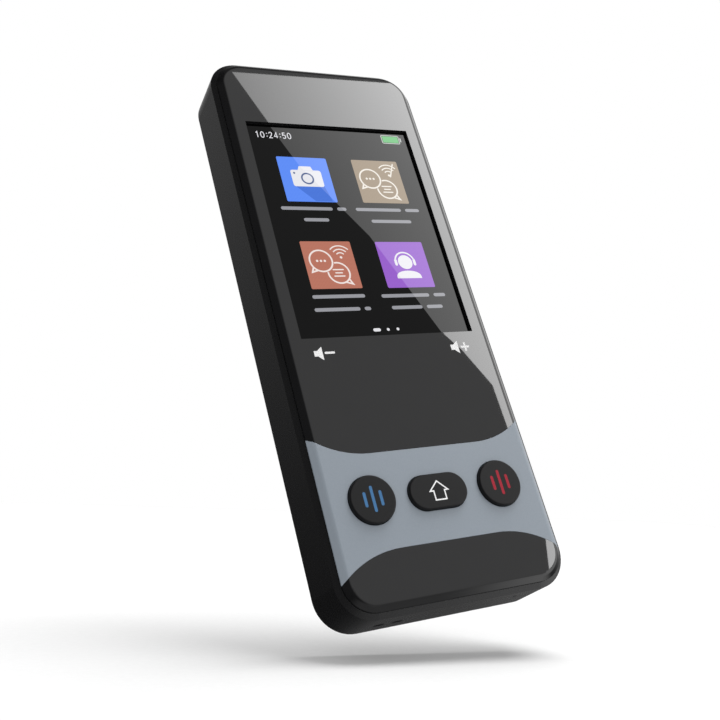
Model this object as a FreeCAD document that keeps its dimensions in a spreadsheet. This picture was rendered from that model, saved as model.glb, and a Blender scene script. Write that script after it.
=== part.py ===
import FreeCAD, Part

import math
import os
import re

import Sketcher
from FreeCAD import Vector

# Handheld translator, built as separate pieces on one set of sizes.
# Millimetres. +X is to the right of someone reading the screen, +Z runs up the length of the body.
# Every piece is drawn with depth 0 on the front plane of the cover and depth growing towards
# the back along +Y. Its placement then moves it so that the origin is at the middle of the bottom end.

DOC = FreeCAD.newDocument("HandheldTranslator")
SIZES = DOC.addObject("Spreadsheet::Sheet", "Sizes")
FITS = DOC.addObject("Spreadsheet::Sheet", "Fits")

FRONT = "XZ_Plane"
TOP = "XY_Plane"
SIDE = "YZ_Plane"
QUARTER_TURN = math.pi / 2
SAME_PLACE = 1e-4
LEAST_CUT = 1e-3

sheet_of_name = {}
parts = []


def add_cell(sheet, name, text):
    """Write one named cell under the last one of a sheet."""
    row = 1 + sum(1 for owner in sheet_of_name.values() if owner is sheet)
    sheet.set("A%d" % row, text)
    sheet.setAlias("A%d" % row, name)
    sheet_of_name[name] = sheet


def fit(name, formula):
    """Add a size that follows from the driving ones."""
    add_cell(FITS, name, "=" + link(formula))


def link(formula):
    """Turn the names in a formula into references to their sheets."""
    def reference(match):
        word = match.group(0)
        if word in sheet_of_name:
            return sheet_of_name[word].Name + "." + word
        return word
    return re.sub(r"[a-z][a-z0-9_]*", reference, formula)


def number(formula):
    """The present value of a formula."""
    return float(SIZES.evalExpression(link(formula)))


# Driving sizes in millimetres, by assembly
DRIVING = {
    # Length by which a cut or a join runs past the face that it meets
    "overcut": 0.01,

    # Casing
    "screen_width": 43.2,
    "screen_height": 57.6,
    "screen_side_margin": 5.65,
    "screen_top_margin": 19.2,
    "lower_face": 60.4,
    "body_depth": 14.3,
    "corner_radius": 7.9,
    "side_wall": 1.8,
    "back_wall": 1.6,
    "front_edge_depth": 2.25,
    "rim_bevel_width": 1.15,
    "rim_bevel_depth": 0.6,
    "back_edge_round": 0.5,

    # Front cover and its seam
    "seam_inset": 1.2,
    "seam_gap": 0.35,
    "seam_groove": 0.3,
    "cover_bevel_width": 1.2,
    "cover_bevel_depth": 1.0,
    "cover_bevel_round": 1.2,
    "cover_plate": 2.0,
    "cover_fit": 0.1,
    "skirt_wall": 1.1,
    "skirt_end": 3.8,
    "hook_width": 7.0,
    "hook_reach": 0.5,
    "hook_start": 2.6,
    "hook_thickness": 0.9,
    "hook_play": 0.15,
    "hook_spread": 38.0,

    # Screen opening, touch glass and display
    "opening_margin": 0.2,
    "opening_lip": 0.7,
    "glass_border": 1.6,
    "touch_tongue": 8.6,
    "glass_thickness": 0.7,
    "glass_corner": 1.2,
    "tape_thickness": 0.15,
    "rebate_play": 0.1,
    "display_gap": 0.1,
    "cell_border": 1.0,
    "cell_foot": 3.2,
    "cell_thickness": 1.1,
    "guide_thickness": 1.2,
    "sheet_gap": 0.05,
    "tray_border": 1.5,
    "tray_top": 1.5,
    "tray_foot": 5.4,
    "tray_sheet": 0.3,
    "tray_corner": 0.5,
    "tray_slot_play": 0.3,

    # Control band, in heights above the bottom end
    "band_top": 33.1,
    "band_top_edge": 38.6,
    "band_top_flat": 13.0,
    "band_low": 12.7,
    "band_low_edge": 6.3,
    "band_low_flat": 11.5,
    "band_fit": 0.04,

    # Front keys
    "key_up": 23.1,
    "key_spacing": 15.5,
    "key_radius": 5.15,
    "home_width": 13.9,
    "home_height": 7.6,
    "key_proud": 0.9,
    "key_fit": 0.12,
    "key_round": 0.35,
    "key_flange": 0.8,
    "key_flange_height": 0.8,
    "key_gap": 0.03,
    "key_stem_radius": 1.5,
    "key_travel": 0.35,

    # Circuit board and its key switches
    "board_front": 5.6,
    "board_thickness": 1.0,
    "board_side_gap": 1.3,
    "board_top_gap": 0.4,
    "board_foot": 6.6,
    "board_corner": 4.0,
    "switch_side": 4.5,
    "switch_height": 1.5,
    "plunger_radius": 1.25,
    "plunger_rise": 0.4,
    "plunger_sink": 0.5,
    "plunger_play": 0.05,
    "plunger_end_play": 0.05,
    "screw_radius": 0.8,
    "screw_length": 2.8,
    "screw_head_radius": 1.5,
    "screw_head_height": 0.9,
    "screw_head_bevel": 0.3,
    "screw_drive_reach": 0.8,
    "screw_drive_slot": 0.35,
    "screw_drive_depth": 0.5,
    "screw_play": 0.02,
    "screw_hole_extra": 0.3,
    "boss_radius": 2.0,
    "boss_in": 7.75,
    "boss_mid_in": 6.25,
    "boss_low": 10.0,
    "boss_high": 9.2,
    "boss_below_tray": 9.0,

    # Chips, shield and antenna
    "shield_left": 21.0,
    "shield_width": 18.0,
    "shield_height": 17.0,
    "shield_from_top": 22.0,
    "shield_rise": 1.8,
    "shield_sheet": 0.2,
    "shield_corner": 0.4,
    "processor_side": 9.0,
    "processor_height": 1.0,
    "memory_width": 5.5,
    "memory_height": 8.0,
    "chip_gap": 0.8,
    "antenna_left": 21.0,
    "antenna_width": 14.0,
    "antenna_height": 9.0,
    "antenna_from_top": 9.2,
    "antenna_rise": 3.4,
    "antenna_sheet": 0.3,
    "antenna_leg": 2.0,
    "antenna_slit": 0.8,

    # Display ribbon, its socket and the foam behind the display
    "ribbon_width": 16.0,
    "ribbon_sheet": 0.15,
    "ribbon_drop": 3.0,
    "ribbon_bend": 0.8,
    "ribbon_tail": 2.4,
    "socket_height": 2.6,
    "socket_grip": 1.4,
    "socket_cheek": 1.0,
    "socket_rise": 1.1,
    "socket_side_play": 0.1,
    "socket_face_play": 0.03,
    "socket_end_play": 0.05,
    "foam_width": 3.0,
    "foam_length": 40.0,
    "foam_in": 3.0,

    # Battery
    "battery_width": 36.0,
    "battery_length": 44.0,
    "battery_round": 1.4,
    "battery_gap": 0.9,
    "battery_tape": 0.2,
    "battery_tape_border": 4.0,
    "cradle_play": 0.4,
    "cradle_wall": 1.0,
    "cradle_rise": 3.0,
    "cradle_share": 26.0,
    "lead_length": 4.0,
    "lead_radius": 0.5,
    "lead_pitch": 1.5,
    "lead_aside": 14.0,
    "plug_width": 4.6,
    "plug_length": 3.6,
    "plug_height": 2.2,
    "plug_wall": 0.6,
    "plug_play": 0.05,
    "post_radius": 1.4,
    "post_aside": 9.0,
    "post_gap": 0.1,

    # Speaker and its grille
    "speaker_up": 24.0,
    "speaker_radius": 10.0,
    "speaker_wall": 1.0,
    "speaker_cup": 2.4,
    "speaker_floor": 0.5,
    "magnet_radius": 5.8,
    "magnet_height": 1.3,
    "cone_gap": 0.3,
    "cone_rise": 0.9,
    "cone_sheet": 0.15,
    "gasket_thickness": 0.5,
    "mesh_thickness": 0.2,
    "speaker_ring": 1.0,
    "speaker_ring_start": 0.4,
    "speaker_play": 0.1,
    "grille_hole": 0.65,
    "grille_pitch": 2.3,
    "speaker_pin_radius": 0.4,
    "speaker_pin_out": 8.0,

    # Microphone
    "microphone_aside": 14.9,
    "microphone_depth": 6.1,
    "microphone_radius": 1.5,
    "microphone_height": 1.2,
    "microphone_pin": 0.25,
    "microphone_pin_pitch": 1.2,
    "microphone_hole": 0.5,
    "boot_wall": 0.65,
    "boot_floor": 0.8,
    "boot_play": 0.05,
    "boot_headroom": 0.8,
    "boot_cradle_wall": 0.9,

    # Charging socket
    "port_width": 8.94,
    "port_height": 3.26,
    "port_sheet": 0.3,
    "port_length": 7.2,
    "port_floor": 1.0,
    "port_inset": 0.15,
    "port_play": 0.18,
    "tongue_width": 6.69,
    "tongue_thickness": 0.7,
    "tongue_length": 4.45,
    "tongue_round": 0.17,

    # Rear camera and lamp
    "camera_aside": 12.5,
    "camera_from_top": 15.0,
    "camera_side": 8.5,
    "camera_base": 1.8,
    "barrel_radius": 3.1,
    "barrel_bore": 1.9,
    "barrel_gap": 1.0,
    "lens_bulge": 0.5,
    "lens_thickness": 0.7,
    "lens_inset": 0.5,
    "trim_radius": 6.4,
    "trim_width": 1.7,
    "trim_seat": 0.8,
    "trim_inset": 0.05,
    "trim_bevel": 0.2,
    "camera_hole": 4.1,
    "window_thickness": 0.55,
    "trim_play": 0.05,
    "lamp_below_camera": 10.2,
    "lamp_radius": 1.95,
    "lamp_flange": 0.65,
    "lamp_flange_height": 0.6,
    "lamp_inset": 0.1,
    "lamp_bevel": 0.25,
    "lamp_play": 0.05,
    "led_side": 3.0,
    "led_height": 0.8,
    "led_gap": 0.5,

    # Power key on the right side
    "power_up_from_top": 33.2,
    "power_length": 11.0,
    "power_width": 2.8,
    "power_depth": 8.1,
    "power_scoop_depth": 0.5,
    "power_scoop_margin": 1.6,
    "power_fit": 0.1,
    "power_flange": 0.8,
    "power_flange_height": 0.6,
    "power_gap": 0.03,
    "power_travel": 0.25,
    "power_round": 0.3,
    "power_nub": 0.5,
    "power_switch_length": 6.0,
    "power_switch_reach": 3.4,
    "power_switch_rise": 3.0,
    "power_plunger_rise": 0.5,
    "power_plunger_radius": 1.0,

    # Lanyard eyelet in the bottom end
    "eyelet_aside": 14.6,
    "eyelet_depth": 8.65,
    "eyelet_pitch": 4.2,
    "eyelet_width": 2.6,
    "eyelet_height": 1.7,
    "eyelet_channel": 2.6,
    "eyelet_wall": 1.1,
}

for driving_name, driving_value in DRIVING.items():
    add_cell(SIZES, driving_name, str(driving_value))

# Overall sizes and levels that follow
fit("body_width", "screen_width + 2 * screen_side_margin")
fit("body_length", "lower_face + screen_height + screen_top_margin")
fit("depth_middle", "(body_depth - key_proud) / 2")
fit("middle_up", "body_length / 2")
fit("rim_depth", "front_edge_depth - rim_bevel_depth")
fit("cavity_half", "body_width / 2 - side_wall")
fit("cavity_length", "body_length - 2 * side_wall")
fit("cavity_radius", "corner_radius - side_wall")
fit("back_inner", "body_depth - back_wall")
fit("cover_half", "body_width / 2 - seam_inset")
fit("cover_length", "body_length - 2 * seam_inset")
fit("cover_radius", "corner_radius - seam_inset")
fit("cover_edge", "rim_depth - seam_gap")
fit("plug_half", "cavity_half - cover_fit")
fit("plug_tall", "cavity_length - 2 * cover_fit")
fit("plug_radius", "cavity_radius - cover_fit")

fit("screen_low", "lower_face")
fit("screen_high", "lower_face + screen_height")
fit("screen_mid", "lower_face + screen_height / 2")
fit("opening_width", "screen_width + 2 * opening_margin")
fit("opening_height", "screen_height + 2 * opening_margin")
fit("glass_width", "screen_width + 2 * glass_border")
fit("glass_length", "screen_height + glass_border + touch_tongue")
fit("glass_mid", "(screen_high + glass_border + screen_low - touch_tongue) / 2")
fit("glass_front", "opening_lip + tape_thickness")
fit("cell_front", "glass_front + glass_thickness + display_gap")
fit("cell_back", "cell_front + cell_thickness")
fit("guide_front", "cell_back + sheet_gap")
fit("tray_floor", "guide_front + guide_thickness + sheet_gap")
fit("tray_back", "tray_floor + tray_sheet")
fit("tray_half", "screen_width / 2 + tray_border")
fit("tray_low", "screen_low - tray_foot")
fit("tray_height", "screen_height + tray_top + tray_foot")
fit("tray_mid", "tray_low + tray_height / 2")

fit("board_back", "board_front + board_thickness")
fit("ribbon_level", "board_front - socket_rise / 2 - ribbon_sheet / 2")
fit("socket_high", "tray_low - ribbon_drop - ribbon_tail")
fit("socket_low", "socket_high - socket_height")
fit("ribbon_end", "socket_high - socket_grip")
fit("board_half", "cavity_half - board_side_gap")
fit("board_high", "body_length - side_wall - board_top_gap")
fit("switch_top", "board_front - switch_height")
fit("plunger_top", "switch_top - plunger_rise")
fit("flange_front", "cover_plate + key_gap")
fit("flange_back", "flange_front + key_flange_height")
fit("boss_high_up", "body_length - boss_high")
fit("boss_mid_up", "tray_low - boss_below_tray")
fit("boss_x", "body_width / 2 - boss_in")
fit("boss_mid_x", "body_width / 2 - boss_mid_in")

fit("shield_high", "body_length - shield_from_top")
fit("shield_low", "shield_high - shield_height")
fit("speaker_ring_top", "speaker_up + speaker_radius + speaker_play + speaker_ring")
fit("battery_mid", "(speaker_ring_top + shield_low) / 2")
fit("battery_high", "battery_mid + battery_length / 2")
fit("battery_low", "battery_mid - battery_length / 2")
fit("battery_front", "board_back + battery_gap")
fit("battery_back", "back_inner - battery_tape")
fit("plug_low", "battery_high + lead_length")
fit("plug_high", "plug_low + plug_length")
fit("lead_depth", "board_back + plug_wall + plug_play + plug_height / 2")

fit("mesh_front", "back_inner - mesh_thickness")
fit("gasket_front", "mesh_front - gasket_thickness")
fit("speaker_floor_front", "gasket_front - speaker_cup")
fit("speaker_floor_back", "speaker_floor_front + speaker_floor")
fit("magnet_front", "speaker_floor_front - magnet_height")
fit("speaker_bore", "speaker_radius - speaker_wall")

fit("boot_radius", "microphone_radius + boot_wall")
fit("boot_low", "side_wall + boot_play")
fit("boot_high", "boot_low + boot_floor + microphone_height + boot_headroom")
fit("port_depth", "board_back + port_height / 2")
fit("port_mouth", "body_length - port_inset")
fit("port_end", "port_mouth - port_length")
fit("camera_up", "body_length - camera_from_top")
fit("camera_base_back", "board_back + camera_base")
fit("trim_floor", "body_depth - trim_seat")
fit("barrel_back", "back_inner - barrel_gap")
fit("lamp_up", "camera_up - lamp_below_camera")
fit("led_back", "board_back + led_height")
fit("power_up", "body_length - power_up_from_top")
fit("power_face", "body_width / 2")
fit("power_flange_out", "cavity_half - power_gap")
fit("power_flange_in", "power_flange_out - power_flange_height")
fit("power_plunger_out", "power_flange_in - power_nub")
fit("power_switch_out", "power_plunger_out - power_plunger_rise")
DOC.recompute()


def new_body(name):
    """Start a sub-part whose placement brings depth 0 to its place in the part's frame."""
    body = DOC.addObject("PartDesign::Body", name)
    body.Label = name
    body.setExpression("Placement.Base.y", link("-depth_middle"))
    parts.append(body)
    return body


def new_sketch(body, name, plane, level):
    """Start a sketch parallel to one of the body's planes, at a level along +X, +Y or +Z."""
    sketch = body.newObject("Sketcher::SketchObject", body.Name + "_" + name + "_sketch")
    role = [item for item in body.Origin.OriginFeatures if item.Role == plane]
    sketch.AttachmentSupport = [(role[0], "")]
    sketch.MapMode = "FlatFace"
    sign = "-" if plane == FRONT else ""
    sketch.setExpression("AttachmentOffset.Base.z", link(sign + "(" + level + ")"))
    return sketch


def add(body, name, plane, draw, low, high):
    """Pad what draw puts in a sketch from the lower level to the higher one."""
    sketch = new_sketch(body, name, plane, high if plane == FRONT else low)
    draw(sketch)
    pad = body.newObject("PartDesign::Pad", body.Name + "_" + name)
    pad.Profile = sketch
    pad.setExpression("Length", link("(" + high + ") - (" + low + ")"))
    DOC.recompute()
    return pad


def cut(body, name, plane, draw, low, high):
    """Pocket what draw puts in a sketch from the lower level to the higher one."""
    before = body.Tip.Shape.Volume
    sketch = new_sketch(body, name, plane, low if plane == FRONT else high)
    draw(sketch)
    pocket = body.newObject("PartDesign::Pocket", body.Name + "_" + name)
    pocket.Profile = sketch
    pocket.setExpression("Length", link("(" + high + ") - (" + low + ")"))
    DOC.recompute()
    if pocket.Shape.Volume > before - LEAST_CUT:
        raise ValueError("nothing was cut by " + pocket.Name)
    return pocket


def datum(sketch, kind, first, first_point, second, second_point, formula):
    """Add a distance between two points and tie it to a formula."""
    index = sketch.addConstraint(
        Sketcher.Constraint(kind, first, first_point, second, second_point, number(formula)))
    sketch.setExpression("Constraints[%d]" % index, link(formula))


def radius_datum(sketch, item, formula):
    """Give a circle or an arc a radius that follows a formula."""
    index = sketch.addConstraint(Sketcher.Constraint("Radius", item, number(formula)))
    sketch.setExpression("Constraints[%d]" % index, link(formula))


def circle(sketch, across, up, radius):
    """Draw a circle round a point."""
    centre = Vector(number(across), number(up), 0)
    item = sketch.addGeometry(Part.Circle(centre, Vector(0, 0, 1), number(radius)), False)
    datum(sketch, "DistanceX", -1, 1, item, 3, across)
    datum(sketch, "DistanceY", -1, 1, item, 3, up)
    radius_datum(sketch, item, radius)


def rectangle(sketch, left, low, right, high):
    """Draw a rectangle between two corners."""
    corners = [
        Vector(number(left), number(low), 0),
        Vector(number(right), number(low), 0),
        Vector(number(right), number(high), 0),
        Vector(number(left), number(high), 0),
    ]
    sides = []
    for here, there in zip(corners, corners[1:] + corners[:1]):
        sides.append(sketch.addGeometry(Part.LineSegment(here, there), False))
    for here, there in zip(sides, sides[1:] + sides[:1]):
        sketch.addConstraint(Sketcher.Constraint("Coincident", here, 2, there, 1))
    for side, kind in zip(sides, ("Horizontal", "Vertical", "Horizontal", "Vertical")):
        sketch.addConstraint(Sketcher.Constraint(kind, side))
    datum(sketch, "DistanceX", -1, 1, sides[0], 1, left)
    datum(sketch, "DistanceY", -1, 1, sides[0], 1, low)
    datum(sketch, "DistanceX", -1, 1, sides[2], 1, right)
    datum(sketch, "DistanceY", -1, 1, sides[2], 1, high)


def box_outline(sketch, across, up, width, height):
    """Draw a sharp rectangle round a middle point."""
    left = "(%s) - (%s) / 2" % (across, width)
    right = "(%s) + (%s) / 2" % (across, width)
    low = "(%s) - (%s) / 2" % (up, height)
    high = "(%s) + (%s) / 2" % (up, height)
    rectangle(sketch, left, low, right, high)


def rounded(sketch, across, up, width, height, radius):
    """Draw a rectangle with round corners about a middle point."""
    middle = Vector(number(across), number(up), 0)
    half_x = number(width) / 2
    half_y = number(height) / 2
    turn = number(radius)
    flat_x = half_x - turn
    flat_y = half_y - turn
    lines = []
    for start, end in (
            ((-flat_x, -half_y), (flat_x, -half_y)),
            ((half_x, -flat_y), (half_x, flat_y)),
            ((flat_x, half_y), (-flat_x, half_y)),
            ((-half_x, flat_y), (-half_x, -flat_y))):
        segment = Part.LineSegment(middle + Vector(*start), middle + Vector(*end))
        lines.append(sketch.addGeometry(segment, False))
    arcs = []
    for corner_x, corner_y, quarter in ((1, -1, 3), (1, 1, 0), (-1, 1, 1), (-1, -1, 2)):
        centre = middle + Vector(corner_x * flat_x, corner_y * flat_y, 0)
        ring = Part.Circle(centre, Vector(0, 0, 1), turn)
        start = quarter * QUARTER_TURN
        arcs.append(sketch.addGeometry(Part.ArcOfCircle(ring, start, start + QUARTER_TURN), False))
    for order, arc in enumerate(arcs):
        sketch.addConstraint(Sketcher.Constraint("Tangent", lines[order], 2, arc, 1))
        sketch.addConstraint(Sketcher.Constraint("Tangent", arc, 2, lines[(order + 1) % 4], 1))
    for line, kind in zip(lines, ("Horizontal", "Vertical", "Horizontal", "Vertical")):
        sketch.addConstraint(Sketcher.Constraint(kind, line))
    for arc in arcs[1:]:
        sketch.addConstraint(Sketcher.Constraint("Equal", arcs[0], arc))
    radius_datum(sketch, arcs[0], radius)
    datum(sketch, "DistanceX", -1, 1, lines[3], 1, "(%s) - (%s) / 2" % (across, width))
    datum(sketch, "DistanceX", -1, 1, lines[1], 1, "(%s) + (%s) / 2" % (across, width))
    datum(sketch, "DistanceY", -1, 1, lines[0], 1, "(%s) - (%s) / 2" % (up, height))
    datum(sketch, "DistanceY", -1, 1, lines[2], 1, "(%s) + (%s) / 2" % (up, height))


def pill(sketch, across, up, width, height):
    """Draw a slot with round ends, its long way along the sketch's first axis."""
    middle = Vector(number(across), number(up), 0)
    turn = number(height) / 2
    reach = number(width) / 2 - turn
    low = sketch.addGeometry(
        Part.LineSegment(middle + Vector(-reach, -turn), middle + Vector(reach, -turn)), False)
    high = sketch.addGeometry(
        Part.LineSegment(middle + Vector(reach, turn), middle + Vector(-reach, turn)), False)
    right_ring = Part.Circle(middle + Vector(reach, 0, 0), Vector(0, 0, 1), turn)
    left_ring = Part.Circle(middle + Vector(-reach, 0, 0), Vector(0, 0, 1), turn)
    right = sketch.addGeometry(Part.ArcOfCircle(right_ring, -QUARTER_TURN, QUARTER_TURN), False)
    left = sketch.addGeometry(
        Part.ArcOfCircle(left_ring, QUARTER_TURN, 3 * QUARTER_TURN), False)
    sketch.addConstraint(Sketcher.Constraint("Tangent", low, 2, right, 1))
    sketch.addConstraint(Sketcher.Constraint("Tangent", right, 2, high, 1))
    sketch.addConstraint(Sketcher.Constraint("Tangent", high, 2, left, 1))
    sketch.addConstraint(Sketcher.Constraint("Tangent", left, 2, low, 1))
    sketch.addConstraint(Sketcher.Constraint("Horizontal", low))
    sketch.addConstraint(Sketcher.Constraint("Equal", left, right))
    radius_datum(sketch, right, "(%s) / 2" % height)
    datum(sketch, "DistanceX", -1, 1, right, 3, "(%s) + (%s) / 2 - (%s) / 2" % (across, width, height))
    datum(sketch, "DistanceX", -1, 1, left, 3, "(%s) - (%s) / 2 + (%s) / 2" % (across, width, height))
    datum(sketch, "DistanceY", -1, 1, right, 3, up)


def polygon(sketch, points):
    """Draw a closed outline through points given as pairs of formulas."""
    corners = [Vector(number(across), number(up), 0) for across, up in points]
    sides = []
    for here, there in zip(corners, corners[1:] + corners[:1]):
        sides.append(sketch.addGeometry(Part.LineSegment(here, there), False))
    for here, there in zip(sides, sides[1:] + sides[:1]):
        sketch.addConstraint(Sketcher.Constraint("Coincident", here, 2, there, 1))
    for side, (across, up) in zip(sides, points):
        datum(sketch, "DistanceX", -1, 1, side, 1, across)
        datum(sketch, "DistanceY", -1, 1, side, 1, up)


def cross(sketch, across, up, reach, half):
    """Draw an upright cross round a middle point."""
    corners = [
        (half, half), (reach, half), (reach, "-" + half), (half, "-" + half),
        (half, "-" + reach), ("-" + half, "-" + reach), ("-" + half, "-" + half),
        ("-" + reach, "-" + half), ("-" + reach, half), ("-" + half, half),
        ("-" + half, reach), (half, reach),
    ]
    polygon(sketch, [(across + " + " + right, up + " + " + over) for right, over in corners])


def edges_on(shape, axis, level):
    """Names of the edges that lie in a plane across one axis."""
    names = []
    for order, edge in enumerate(shape.Edges, 1):
        box = edge.BoundBox
        low = getattr(box, axis + "Min")
        high = getattr(box, axis + "Max")
        if abs(low - level) < SAME_PLACE and abs(high - level) < SAME_PLACE:
            names.append("Edge%d" % order)
    return names


def round_edges(body, name, edges, radius):
    """Round some edges of the body's last feature."""
    base = body.Tip
    fillet = body.newObject("PartDesign::Fillet", body.Name + "_" + name)
    fillet.Base = (base, edges)
    fillet.setExpression("Radius", link(radius))
    DOC.recompute()
    return fillet


def chamfer_edges(body, name, edges, width):
    """Cut some edges of the body's last feature off at 45 degrees."""
    base = body.Tip
    chamfer = body.newObject("PartDesign::Chamfer", body.Name + "_" + name)
    chamfer.Base = (base, edges)
    chamfer.setExpression("Size", link(width))
    DOC.recompute()
    return chamfer


def bevel_edges(body, name, edges, across_face, down_side):
    """Bevel edges by one distance over the face in front and another down the sides."""
    base = body.Tip
    level = base.Shape.BoundBox.YMin
    chamfer = body.newObject("PartDesign::Chamfer", body.Name + "_" + name)
    chamfer.Base = (base, edges)
    chamfer.ChamferType = "Two distances"
    chamfer.setExpression("Size", link(across_face))
    chamfer.setExpression("Size2", link(down_side))
    DOC.recompute()
    wanted = base.Shape.BoundBox.XMax - number(across_face)
    face_edges = edges_on(chamfer.Shape, "Y", level)
    reach = max(chamfer.Shape.getElement(edge).BoundBox.XMax for edge in face_edges)
    if abs(reach - wanted) > SAME_PLACE:
        chamfer.FlipDirection = True
        DOC.recompute()
    return chamfer


def cover_outline(sketch, inset):
    """Outline of the front cover, drawn in by an inset."""
    rounded(sketch, "0", "middle_up", "2 * (cover_half - (%s))" % inset,
            "cover_length - 2 * (%s)" % inset, "cover_radius - (%s)" % inset)


def band_limit(sketch, middle, edge, flat, far):
    """Region past one long edge of the control band.

    The edge is flat across the middle and sweeps away in an arc towards each side, where it
    reaches another height in the plane of the body's side.
    """
    side = number("body_width / 2")
    level = number(middle)
    rise = number(edge) - level
    run = side - number(flat)
    radius = (run * run + rise * rise) / (2 * abs(rise))
    centre_up = level + (radius if rise > 0 else -radius)
    left_centre = Vector(-number(flat), centre_up, 0)
    right_centre = Vector(number(flat), centre_up, 0)
    left_end = Vector(-side, number(edge), 0)
    right_end = Vector(side, number(edge), 0)
    left_flat = Vector(-number(flat), level, 0)
    right_flat = Vector(number(flat), level, 0)
    far_left = Vector(-side, number(far), 0)
    far_right = Vector(side, number(far), 0)
    left_arc = sketch.addGeometry(arc_between(left_centre, left_end, left_flat), False)
    right_arc = sketch.addGeometry(arc_between(right_centre, right_flat, right_end), False)
    flat_line = sketch.addGeometry(Part.LineSegment(left_flat, right_flat), False)
    right_line = sketch.addGeometry(Part.LineSegment(right_end, far_right), False)
    far_line = sketch.addGeometry(Part.LineSegment(far_right, far_left), False)
    left_line = sketch.addGeometry(Part.LineSegment(far_left, left_end), False)
    outer_left, inner_left = arc_points(sketch, left_arc, left_end)
    outer_right, inner_right = arc_points(sketch, right_arc, right_end)
    sketch.addConstraint(Sketcher.Constraint("Tangent", left_arc, inner_left, flat_line, 1))
    sketch.addConstraint(Sketcher.Constraint("Tangent", flat_line, 2, right_arc, inner_right))
    sketch.addConstraint(Sketcher.Constraint("Coincident", right_arc, outer_right, right_line, 1))
    sketch.addConstraint(Sketcher.Constraint("Coincident", right_line, 2, far_line, 1))
    sketch.addConstraint(Sketcher.Constraint("Coincident", far_line, 2, left_line, 1))
    sketch.addConstraint(Sketcher.Constraint("Coincident", left_line, 2, left_arc, outer_left))
    sketch.addConstraint(Sketcher.Constraint("Horizontal", flat_line))
    sketch.addConstraint(Sketcher.Constraint("Horizontal", far_line))
    sketch.addConstraint(Sketcher.Constraint("Vertical", right_line))
    sketch.addConstraint(Sketcher.Constraint("Vertical", left_line))
    datum(sketch, "DistanceX", -1, 1, flat_line, 1, "-(%s)" % flat)
    datum(sketch, "DistanceX", -1, 1, flat_line, 2, flat)
    datum(sketch, "DistanceY", -1, 1, flat_line, 1, middle)
    datum(sketch, "DistanceY", -1, 1, right_line, 1, edge)
    datum(sketch, "DistanceY", -1, 1, left_line, 2, edge)
    datum(sketch, "DistanceX", -1, 1, right_line, 1, "body_width / 2")
    datum(sketch, "DistanceX", -1, 1, left_line, 2, "-body_width / 2")
    datum(sketch, "DistanceY", -1, 1, far_line, 1, far)


def arc_between(centre, start, end):
    """The short arc round a centre from one point to another, whichever way it turns."""
    first = start - centre
    second = end - centre
    ring = Part.Circle(centre, Vector(0, 0, 1), first.Length)
    if first.cross(second).z > 0:
        return Part.ArcOfCircle(ring, ring.parameter(start), ring.parameter(end))
    return Part.ArcOfCircle(ring, ring.parameter(end), ring.parameter(start))


def arc_points(sketch, arc, outer):
    """Which end of an arc is the outer one and which the inner, as sketch point numbers."""
    if sketch.getPoint(arc, 1).distanceToPoint(outer) < SAME_PLACE:
        return 1, 2
    return 2, 1


def both_sides(formula):
    """A formula and its mirror image."""
    return (formula, "-(" + formula + ")")


def boss_places():
    """Places of the six screw bosses, as pairs of formulas."""
    places = []
    for across in both_sides("boss_x"):
        places.append((across, "boss_low"))
        places.append((across, "boss_high_up"))
    for across in both_sides("boss_mid_x"):
        places.append((across, "boss_mid_up"))
    return places


def circles(places, radius):
    """A drawing of equal circles at several places."""
    def draw(sketch):
        for across, up in places:
            circle(sketch, across, up, radius)
    return draw


def hook_rectangles(reach, play):
    """A drawing of the snap hooks, or of the windows that take them, round the skirt."""
    def draw(sketch):
        half = "hook_width / 2 + (%s)" % play
        root = "plug_half - skirt_wall / 2"
        for up in ("middle_up", "middle_up + hook_spread", "middle_up - hook_spread"):
            rectangle(sketch, root, "%s - (%s)" % (up, half), "plug_half + (%s)" % reach,
                      "%s + (%s)" % (up, half))
            rectangle(sketch, "-plug_half - (%s)" % reach, "%s - (%s)" % (up, half), "-(%s)" % root,
                      "%s + (%s)" % (up, half))
        tall = "plug_tall / 2"
        rectangle(sketch, "-(%s)" % half, "middle_up + %s - skirt_wall / 2" % tall, half,
                  "middle_up + %s + (%s)" % (tall, reach))
        rectangle(sketch, "-(%s)" % half, "middle_up - %s - (%s)" % (tall, reach), half,
                  "middle_up - %s + skirt_wall / 2" % tall)
    return draw


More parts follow.
